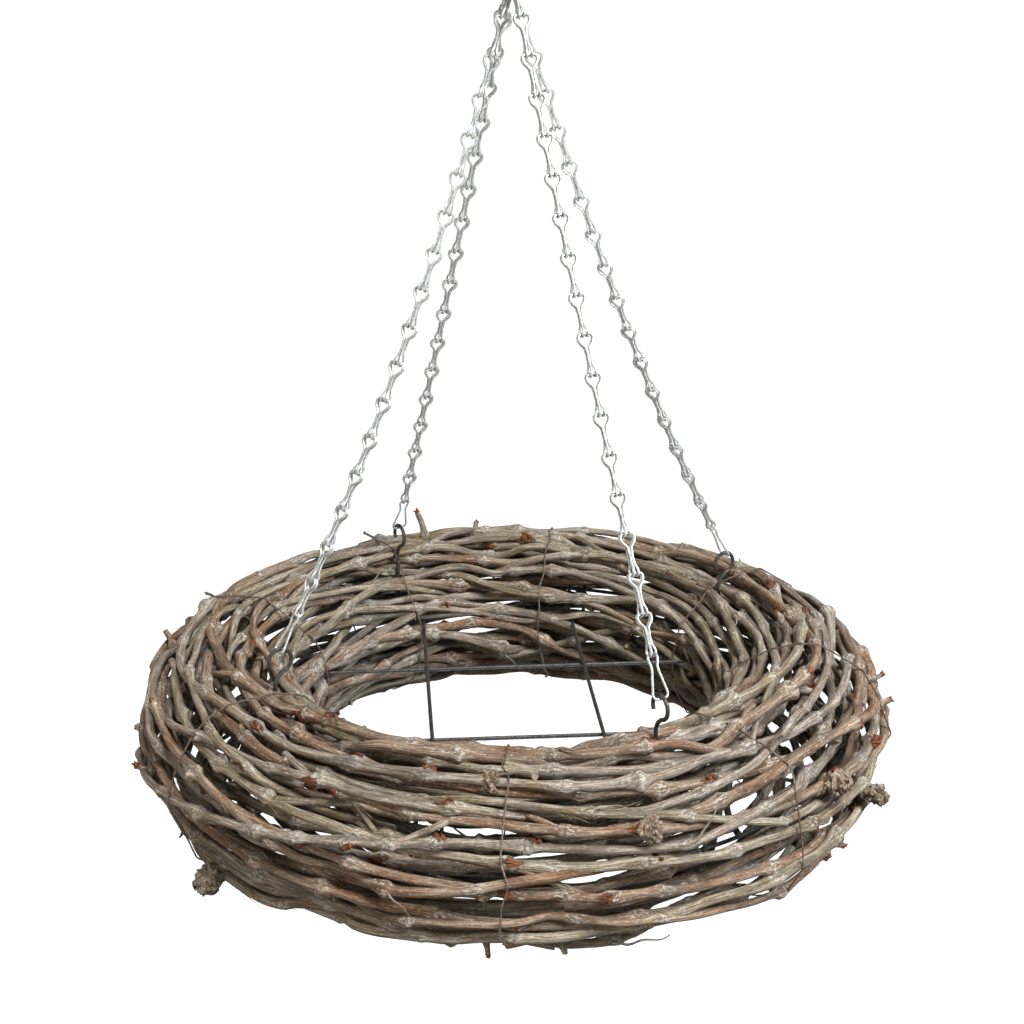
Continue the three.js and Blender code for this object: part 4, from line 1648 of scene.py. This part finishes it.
@dataclass(frozen=True)
class Hook:
    """One hook of the frame and the chain that hangs on it."""

    name: str
    azimuth: float
    side: Side
    sag: float
    slot: float

    def eye(self) -> np.ndarray:
        """Finds the top of the hook's open eye.

        Returns:
            The point that the chain bears on.
        """
        shift = HOOK_RADIUS + self.side.value * HOOK_EYE_SHIFT
        top = WREATH_HEIGHT + HOOK_EYE_HEIGHT + HOOK_EYE_RADIUS
        return horizontal(self.azimuth) * shift + UP * top

    def line(self) -> np.ndarray:
        """Draws the hook.

        Returns:
            The points of its middle line, from its foot on the hoop to its free end.
        """
        inset = HOOK_RADIUS - RING_RADIUS
        foot = math.sqrt(HOOP_RADIUS**2 - inset**2)
        neck = HOOK_EYE_HEIGHT - 2 * HOOK_EYE_RADIUS
        flat = [(0.0, foot + share * (neck - foot)) for share in np.linspace(0, 1, 8)]
        for turn in np.radians(np.arange(-75, 211, 15)):
            x = HOOK_EYE_SHIFT + HOOK_EYE_RADIUS * math.cos(turn)
            flat.append((x, HOOK_EYE_HEIGHT + HOOK_EYE_RADIUS * math.sin(turn)))
        facing = horizontal(self.azimuth)
        return np.array(
            [
                facing * (HOOK_RADIUS + self.side.value * x) + UP * (WREATH_HEIGHT + z)
                for x, z in flat
            ]
        )


HOOKS = [
    Hook("front_right", math.radians(-45), Side.AWAY, 6 * MM, 1.5),
    Hook("front_left", math.radians(-135), Side.TOWARDS, 28 * MM, 0.5),
    Hook("back_right", math.radians(45), Side.AWAY, 20 * MM, -0.5),
    Hook("back_left", math.radians(135), Side.TOWARDS, 5 * MM, -1.5),
]


@dataclass
class WireFrame:
    """The welded frame: hoops, long rings, hooks and the bars across the hole."""

    finish: bpy.types.Material
    sides: int = 10
    weld_rise: float = 0.7 * MM
    weld_size: tuple[float, float] = (1.9 * MM, 2.1 * MM)
    bar_bow: float = 0.6 * MM

    def ring(self, distance: float, angle: float) -> np.ndarray:
        """Returns a long ring's middle line, at a distance and angle round the bundle."""
        return np.array([bundle_point(azimuth, distance, angle) for azimuth in once_round(180)])

    def hoop(self, azimuth: float) -> np.ndarray:
        """Returns a hoop's middle line."""
        return np.array([bundle_point(azimuth, HOOP_RADIUS, turn) for turn in once_round(64)])

    def build(self) -> bpy.types.Object:
        """Makes the frame and the beads of weld that join it.

        Returns:
            The piece.
        """
        buffer = MeshBuffer()
        random = np.random.default_rng(5)
        stations = [(azimuth, horizontal(azimuth + math.pi / 2)) for azimuth in once_round(STATIONS)]
        for azimuth, along in stations:
            buffer.add_wire(self.hoop(azimuth), FRAME_WIRE, along, self.sides, closed=True)
        hole_side = math.pi - math.asin(GRID_HEIGHT / FRAME_RING_DISTANCE)
        for angle in (0, math.pi / 2, hole_side, -math.pi / 2):
            ring = self.ring(FRAME_RING_DISTANCE, angle)
            buffer.add_wire(ring, FRAME_WIRE, UP, self.sides, closed=True)
            for azimuth, along in stations:
                spot = bundle_point(azimuth, FRAME_RING_DISTANCE + self.weld_rise, angle)
                buffer.add_lump(spot, along, self.weld_size, 0.12, random, finish=0)
        for hook in HOOKS:
            line = smooth_line(hook.line(), 0.8 * MM)
            buffer.add_wire(line, FRAME_WIRE, horizontal(hook.azimuth + math.pi / 2), self.sides)
        piece = buffer.build("welded_wire_frame", [self.finish])
        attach(piece, "root")
        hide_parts("wire_frame")
        return piece

    def build_bar(self, quarter: int) -> bpy.types.Object:
        """Makes one of the four bars across the hole.

        Args:
            quarter: which bar, from 0.

        Returns:
            The piece.
        """
        low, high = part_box(f"cross_bar_{quarter + 1}")
        centre = (np.array(low) + np.array(high)) / 2
        azimuth = GRID_TURN + quarter * math.pi / 2
        reach = RING_RADIUS - FRAME_RING_DISTANCE
        half = math.sqrt(reach**2 - GRID_OFFSET**2) - FRAME_WIRE
        share = np.linspace(-1, 1, 40)
        bow = self.bar_bow * np.cos(1.4 * share + quarter)
        path = (
            centre
            + half * share[:, None] * horizontal(azimuth)
            + bow[:, None] * horizontal(azimuth + math.pi / 2)
        )
        buffer = MeshBuffer()
        buffer.add_wire(path, FRAME_WIRE, UP, self.sides)
        piece = buffer.build(f"bar_across_hole_{quarter + 1}", [self.finish])
        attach(piece, "root")
        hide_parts(f"cross_bar_{quarter + 1}")
        return piece


@dataclass
class BindingWire:
    """A loop of thin wire drawn tight round the canes, its two ends twisted together."""

    number: int
    finish: bpy.types.Material
    knot_turn: float
    wander: float = 2.2 * MM
    twist_length: float = 9 * MM
    twist_pitch: float = 2.3 * MM
    twist_bend: float = 1.6 * MM

    def build(self, canes: list[VineCane]) -> bpy.types.Object:
        """Makes the wire round the canes that pass it.

        Args:
            canes: every cane of the wreath.

        Returns:
            The piece.
        """
        azimuth = math.radians(TIE_AZIMUTHS[self.number - 1])
        random = np.random.default_rng(39 + self.number)
        passes = np.array([found for cane in canes for found in cane.crossing(azimuth)])
        turns = np.radians(np.arange(0, 360, 2))
        outward = np.stack([np.cos(turns), np.sin(turns)], axis=1)
        reach = outward @ passes[:, :2].T + passes[:, 2]
        touched = passes[np.argmax(reach, axis=1)]
        flat = touched[:, :2] + outward * (touched[:, 2:] * 1.05 + TIE_WIRE)
        facing, along = horizontal(azimuth), horizontal(azimuth + math.pi / 2)
        loop = flat[:, :1] * facing + flat[:, 1:] * UP
        path = even_line(np.vstack([loop, loop[:1]]), 1.5 * MM)[:-1]
        sway = grid_noise(random, np.zeros(1), np.arange(len(path)) * 24 / len(path), 24)
        path = path + (self.wander * sway)[:, None] * along
        buffer = MeshBuffer()
        buffer.add_wire(path, TIE_WIRE, along, 6, closed=True)
        self.add_twist(buffer, loop, turns, facing, along, random)
        piece = buffer.build(f"binding_wire_{self.number}", [self.finish])
        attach(piece, "root")
        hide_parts(f"tie_wire_{self.number}")
        return piece

    def add_twist(
        self, buffer: MeshBuffer, loop: np.ndarray, turns: np.ndarray,
        facing: np.ndarray, along: np.ndarray, random: np.random.Generator,
    ) -> None:
        """Adds the twisted ends of the wire.

        Args:
            buffer: the wire's mesh.
            loop: the points of the loop before it wanders.
            turns: the angle round the bundle at each of them.
            facing: the level way out from the wreath's axis.
            along: the way round the wreath.
            random: the seeded source of how the twist lies.
        """
        i = int(np.argmin(np.abs(turns - self.knot_turn)))
        out = facing * math.cos(turns[i]) + UP * math.sin(turns[i])
        flat = np.cross(out, along)
        axis = unit(0.45 * out + flat * random.uniform(-0.6, 0.6) + along * random.uniform(0.5, 1.0))
        share = np.linspace(0, 1, 46)
        across = unit(np.cross(axis, out))
        third = np.cross(axis, across)
        reach = (share * self.twist_length)[:, None]
        middle = loop[i] + axis * reach + across * (self.twist_bend * share**2)[:, None]
        spread = 0.95 * TIE_WIRE * (1 + 0.9 * np.clip(share - 0.85, 0, 1) * 6)
        for strand in (0, math.pi):
            angle = 2 * math.pi * share * self.twist_length / self.twist_pitch + strand
            ways = np.cos(angle)[:, None] * across + np.sin(angle)[:, None] * third
            buffer.add_wire(middle + spread[:, None] * ways, TIE_WIRE, axis, 7)


@dataclass
class LinkChain:
    """A chain of folded wire links, each bent double over the eye of the one below it."""

    hook: Hook
    finish: bpy.types.Material
    eye_half: float = 4.3 * MM
    waist_half: float = 0.85 * MM
    fold_half: float = 1.5 * MM
    spacing: float = 0.15 * MM
    bar_inset: float = 0.65 * MM
    step: float = 0.85 * MM

    def measure(self) -> None:
        """Sets out the curve that the chain hangs in, and the pitch of its links."""
        turn = math.asin(self.hook.slot * CHAIN_SLOT / HANG_RING_RADIUS)
        top = horizontal(HANG_RING_AZIMUTH) * self.hook.slot * CHAIN_SLOT
        top = top + UP * (HANG_RING_CENTRE - HANG_RING_RADIUS * math.cos(turn))
        bottom = self.hook.eye()
        pull = (top + bottom) / 2 - UP * 2 * self.hook.sag
        share = np.linspace(0, 1, 600)[:, None]
        self.curve = (1 - share) ** 2 * top + 2 * share * (1 - share) * pull + share**2 * bottom
        self.knots = lengths_along(self.curve)
        self.length = float(self.knots[-1])
        self.tangents = unit(np.gradient(self.curve, axis=0))
        self.pitch = (self.length + TOP_REACH + END_REACH) / (LINKS - 1 + END_LINK_PITCHES)
        self.top_turn = HANG_RING_AZIMUTH + math.pi / 2
        twist = wrapped(self.hook.azimuth + math.pi / 2 - self.top_turn)
        if abs(twist) > math.pi / 2:
            twist -= math.copysign(math.pi, twist)
        self.twist = twist

    def place(self, local: np.ndarray) -> tuple[np.ndarray, np.ndarray]:
        """Bends points of a straight flat chain onto the curve.

        Args:
            local: rows of half width, distance down the chain and height off its plane.

        Returns:
            The points, and the chain's way across its plane at each.
        """
        down = local[:, 1] - TOP_REACH
        inside = np.clip(down, 0, self.length)
        share = inside / self.length
        along = unit(read_rows(inside, self.knots, self.tangents))
        point = read_rows(inside, self.knots, self.curve) + along * (down - inside)[:, None]
        turn = self.top_turn + self.twist * share
        width = np.stack([np.cos(turn), np.sin(turn), np.zeros_like(turn)], axis=1)
        width = unit(width - along * np.sum(width * along, axis=1, keepdims=True))
        normal = np.cross(along, width)
        return point + width * local[:, :1] + normal * local[:, 2:], normal

    def folded_link(self, bar: float, end: float) -> np.ndarray:
        """Draws the middle line of one folded link.

        Args:
            bar: how far down the link the bar of its eye is.
            end: how far down the middle of its fold is.

        Returns:
            Rows of half width, distance down and height off the plane, once round the wire.
        """
        front = self.link_side(bar, end, self.waist_half)
        back = self.link_side(bar, end, self.waist_half + self.spacing) * (1, 1, -1)
        turn = np.array([(self.fold_half, end, 0.0)])
        mirror = (-1, 1, 1)
        right = [front, turn, back[::-1]]
        left = [(back * mirror)[1:], turn * mirror, (front * mirror)[1:][::-1]]
        return np.vstack(right + left)

    def link_side(self, bar: float, end: float, waist: float) -> np.ndarray:
        """Draws one of a folded link's four strands, from the middle of its bar to its fold.

        Args:
            bar: how far down the link the bar of its eye is.
            end: how far down the middle of its fold is.
            waist: half the link's width where it is narrow.

        Returns:
            Rows of half width, distance down and height off the plane.
        """
        near, far = LINK_WIRE * 1.12, LINK_WIRE * 3.3
        eye, fold = self.eye_half, self.fold_half
        return np.array(
            [
                (0.0, bar, near),
                (0.62 * eye, bar + 0.05 * MM, near),
                (0.93 * eye, bar + 0.9 * MM, near),
                (eye, bar + 2.4 * MM, near * 1.05),
                (0.86 * eye, bar + 4.4 * MM, near * 1.2),
                (1.35 * waist, bar + 7.8 * MM, near * 1.2),
                (waist, bar + 10.0 * MM, near * 1.25),
                (waist, 0.5 * (bar + 10.0 * MM + end), 0.45 * far),
                (fold, end - 2.6 * MM, far),
                (fold, end - 1.0 * MM, 0.86 * far),
                (fold, end - 0.2 * MM, 0.45 * far),
            ]
        )

    def end_link(self, bar: float, end: float) -> np.ndarray:
        """Draws the plain pear-shaped link that hangs on the hook.

        Args:
            bar: how far down the bar of its small eye is.
            end: how far down its wide end is.

        Returns:
            Rows of half width, distance down and height off the plane, once round the wire.
        """
        span = end - bar
        side = [
            (0.0, 0.0), (2.0, 0.01), (2.9, 0.07), (2.8, 0.16), (2.0, 0.27), (2.0, 0.34),
            (3.0, 0.55), (4.2, 0.78), (4.7, 0.89), (4.1, 0.96), (2.2, 0.995), (0.0, 1.0),
        ]
        right = np.array([(half * MM, bar + share * span, 0.0) for half, share in side])
        left = (right * (-1, 1, 1))[1:-1][::-1]
        return np.vstack([right, left])

    def build(self) -> bpy.types.Object:
        """Makes the chain.

        Returns:
            The piece.
        """
        self.measure()
        buffer = MeshBuffer()
        bar = self.bar_inset
        first_bar = TOP_REACH - HANG_RING_WIRE - LINK_WIRE
        total = self.length + TOP_REACH + END_REACH
        for link in range(LINKS):
            start = link * self.pitch
            if link == LINKS - 1:
                local = self.end_link(start + bar, total - END_REACH + FRAME_WIRE + LINK_WIRE)
            else:
                top = first_bar if link == 0 else bar
                fold = self.pitch + bar + 2 * LINK_WIRE
                local = self.folded_link(top, fold) + (0, start, 0)
            rounded = smooth_loop(local, self.step)
            points, normals = self.place(rounded)
            buffer.add_wire(points, LINK_WIRE, self.reference(points, normals), 6, closed=True)
        piece = buffer.build(f"link_chain_{self.hook.name}", [self.finish])
        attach(piece, "root")
        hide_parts(f"chain_{self.hook.name}")
        return piece

    def reference(self, points: np.ndarray, normals: np.ndarray) -> np.ndarray:
        """Carries a way across a link's wire along it, so that it never turns into the wire.

        Args:
            points: the points of the wire, once round.
            normals: the chain's way across its plane at each.

        Returns:
            A way across the wire at each point.
        """
        along = unit(np.roll(points, -1, axis=0) - np.roll(points, 1, axis=0))
        carried = np.empty_like(normals)
        carried[0] = unit(normals[0] - along[0] * (normals[0] @ along[0]))
        for i in range(1, len(points)):
            flat = carried[i - 1] - along[i] * (carried[i - 1] @ along[i])
            carried[i] = unit(flat)
        return carried


@dataclass
class HangingRing:
    """The plain ring that gathers the four chains, bent from thicker wire and butted shut."""

    finish: bpy.types.Material

    def build(self) -> bpy.types.Object:
        """Makes the ring.

        Returns:
            The piece.
        """
        across = horizontal(HANG_RING_AZIMUTH)
        turns = np.linspace(math.radians(2), math.radians(358), 96) + math.radians(120)
        aside, height = HANG_RING_RADIUS * np.sin(turns), HANG_RING_RADIUS * np.cos(turns)
        path = aside[:, None] * across + (HANG_RING_CENTRE + height)[:, None] * UP
        buffer = MeshBuffer()
        buffer.add_wire(path, HANG_RING_WIRE, horizontal(HANG_RING_AZIMUTH + math.pi / 2), 16)
        piece = buffer.build("gathering_ring", [self.finish])
        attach(piece, "root")
        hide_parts("hanging_ring")
        return piece


def aim_along(direction: tuple[float, ...] | Vector) -> Euler:
    """Returns the turn that points a camera or a lamp along a direction."""
    return Vector(direction).to_track_quat("-Z", "Y").to_euler()


@dataclass(frozen=True)
class Softbox:
    """A square softbox: its place, the point that it faces, its side in metres, watts and tint."""

    name: str
    place: tuple[float, float, float]
    target: tuple[float, float, float]
    size: float
    power: float
    tint: str

    def hang(self) -> None:
        """Adds the softbox's lamp."""
        data = bpy.data.lights.new(self.name, "AREA")
        data.color = linear(self.tint)[:3]
        data.size = self.size
        data.energy = self.power
        lamp = link_object(self.name, data)
        lamp.location = self.place
        lamp.rotation_euler = aim_along(Vector(self.target) - Vector(self.place))


SOFTBOXES = [
    Softbox("key_softbox", (1.35, -0.5, 0.65), (0, 0, -0.45), 0.45, 44, "#e8f2ff"),
    Softbox("front_softbox", (-0.35, -1.0, -0.15), (0, -0.2, -0.46), 0.4, 3.0, "#fff9f0"),
]


@dataclass
class Studio:
    """The camera, a pale floor far below the wreath, and soft light.

    The panel overhead falls evenly on the whole floor. The walls' light comes from a band round
    the horizon, given by how high it stands in the sky, and the ceiling above it is weaker.
    """

    camera_place: tuple[float, float, float] = (0.2637, -0.9841, 0.0257)
    camera_aim: tuple[float, float, float] = (-0.2443, 0.9119, -0.3297)
    lens: float = 63.44
    sensor: float = 36.0
    floor_drop: float = 1.3
    floor_half: float = 60.0
    panel_aim: tuple[float, float, float] = (-0.3, 0.32, -1.0)
    panel_angle: float = math.radians(16)
    panel_strength: float = 3.35
    walls_from: tuple[float, float] = (-0.3, -0.1)
    ceiling_from: tuple[float, float] = (0.03, 0.12)
    ceiling_light: float = 0.1

    def add_camera(self) -> None:
        """Adds the camera at the photograph's viewing angle."""
        data = bpy.data.cameras.new("camera")
        data.lens = self.lens
        data.sensor_width = self.sensor
        data.clip_end = 100
        camera = link_object("camera", data)
        camera.location = self.camera_place
        camera.rotation_euler = aim_along(self.camera_aim)
        bpy.context.scene.camera = camera

    def add_floor(self, lowest: float) -> None:
        """Adds the floor, well below the wreath. It throws no light back up at the canes.

        Args:
            lowest: how high the wreath's lowest point is.
        """
        half = self.floor_half
        mesh = bpy.data.meshes.new("studio_floor")
        corners = [(-half, -half, 0), (half, -half, 0), (half, half, 0), (-half, half, 0)]
        mesh.from_pydata(corners, [], [(0, 1, 2, 3)])
        mesh.materials.append(FLOOR_PAINT.material())
        floor = link_object("studio_floor", mesh)
        floor.location.z = lowest - self.floor_drop
        floor.visible_diffuse = False
        floor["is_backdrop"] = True

    def add_overhead_panel(self) -> None:
        """Adds the broad overhead light."""
        data = bpy.data.lights.new("overhead_panel", "SUN")
        data.angle = self.panel_angle
        data.energy = self.panel_strength
        link_object("overhead_panel", data).rotation_euler = aim_along(self.panel_aim)

    def add_world(self) -> None:
        """Adds the white light of the studio's walls, and the weaker light of its ceiling."""
        world = bpy.data.worlds.new("studio")
        world.use_nodes = True
        world.node_tree.nodes.clear()
        add = partial(add_node, world.node_tree)
        place = add("ShaderNodeTexCoord", ()).outputs["Generated"]
        height = add("ShaderNodeSeparateXYZ", (place,)).outputs["Z"]
        walls = add("ShaderNodeMapRange", (height, *self.walls_from, 0.0, 1.0))
        ceiling = add("ShaderNodeMapRange", (height, *self.ceiling_from, 1.0, self.ceiling_light))
        strength = add("ShaderNodeMath", (walls, ceiling), operation="MULTIPLY")
        light = add("ShaderNodeBackground", {"Color": linear("#ffffff"), "Strength": strength})
        add("ShaderNodeOutputWorld", (light,))
        bpy.context.scene.world = world

    def build(self, lowest: float) -> None:
        """Sets up everything round the wreath.

        Args:
            lowest: how high the wreath's lowest point is.
        """
        self.add_camera()
        self.add_floor(lowest)
        self.add_overhead_panel()
        for softbox in SOFTBOXES:
            softbox.hang()
        self.add_world()
        bpy.context.scene.view_settings.view_transform = "Standard"


def dress_canes(frame: dict[str, Any]) -> list[VineCane]:
    """Makes every cane of the wreath.

    Args:
        frame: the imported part.

    Returns:
        The canes, with their lines set out.
    """
    slots = {entry["node"]: entry["material_slot"] for entry in frame["record"]["subparts"]}
    barks = {slot: bark.material() for slot, bark in BARKS.items()}
    bud, cut = BUD_WOOD.material(), CUT_WOOD.material()
    names = sorted(name for name in frame["nodes"] if name.startswith("cane_"))
    canes = []
    for name in names:
        _, layer, number = name.split("_")
        kind = InnerCane if layer == Layer.INNER.value else VineCane
        cane = kind(Layer(layer), int(number))
        cane.read(frame)
        canes.append(cane)
    under = np.concatenate([cane.places() for cane in canes if cane.layer is Layer.OUTER])
    inside = np.concatenate([cane.places() for cane in canes if cane.layer is Layer.INNER])
    angles = 2 * math.pi * (np.arange(CROWD_CELLS[1]) + 0.5) / CROWD_CELLS[1]
    shunned = 1 + UNDERSIDE_SHUNNED * np.maximum(-np.sin(angles), 0)
    for number in range(1, LOOSE_CANES + 1):
        cane = LooseCane(Layer.LOOSE, number)
        cane.lay(under, (count_crowd(under) + CROWD_INSIDE * count_crowd(inside)) * shunned)
        canes.append(cane)
        under = np.concatenate([under, cane.places()])
    for azimuth, angle, size in BUD_SPOTS:
        spot = bundle_point(math.radians(azimuth), BUD_DISTANCE, math.radians(angle))
        nearest = min(canes, key=lambda cane: float(np.linalg.norm(cane.path - spot, axis=1).min()))
        nearest.mark_bud(spot, size)
    for cane in canes:
        slot = slots.get(cane.node, list(BARKS)[cane.number % len(BARKS)])
        piece = cane.build(slot, [barks[slot], bud, cut])
        LOG.info("%s: %.0f mm long, %d nodes", piece.name, cane.length / MM, len(cane.marks))
    return canes


def main() -> None:
    """Builds the wreath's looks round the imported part."""
    logging.basicConfig(level=logging.INFO, format="%(name)s: %(message)s")
    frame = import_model()
    cad_low, cad_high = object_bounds()
    Studio().build(cad_low.z)
    canes = dress_canes(frame)
    iron, rust, zinc = ANNEALED_IRON.material(), RUSTY_IRON.material(), ZINC_PLATE.material()
    welded = WireFrame(iron)
    LOG.info("%s made", welded.build().name)
    for quarter in range(4):
        LOG.info("%s made", welded.build_bar(quarter).name)
    for number, knot in enumerate(TIE_KNOTS, start=1):
        LOG.info("%s made", BindingWire(number, rust, math.radians(knot)).build(canes).name)
    for hook in HOOKS:
        LOG.info("%s made", LinkChain(hook, zinc).build().name)
    LOG.info("%s made", HangingRing(zinc).build().name)
    meshes = [piece.data for piece in bpy.data.objects if piece.type == "MESH"]
    count = sum(len(face.vertices) - 2 for mesh in meshes for face in mesh.polygons)
    LOG.info("%d triangles in all", count)


if __name__ == "__main__":
    main()
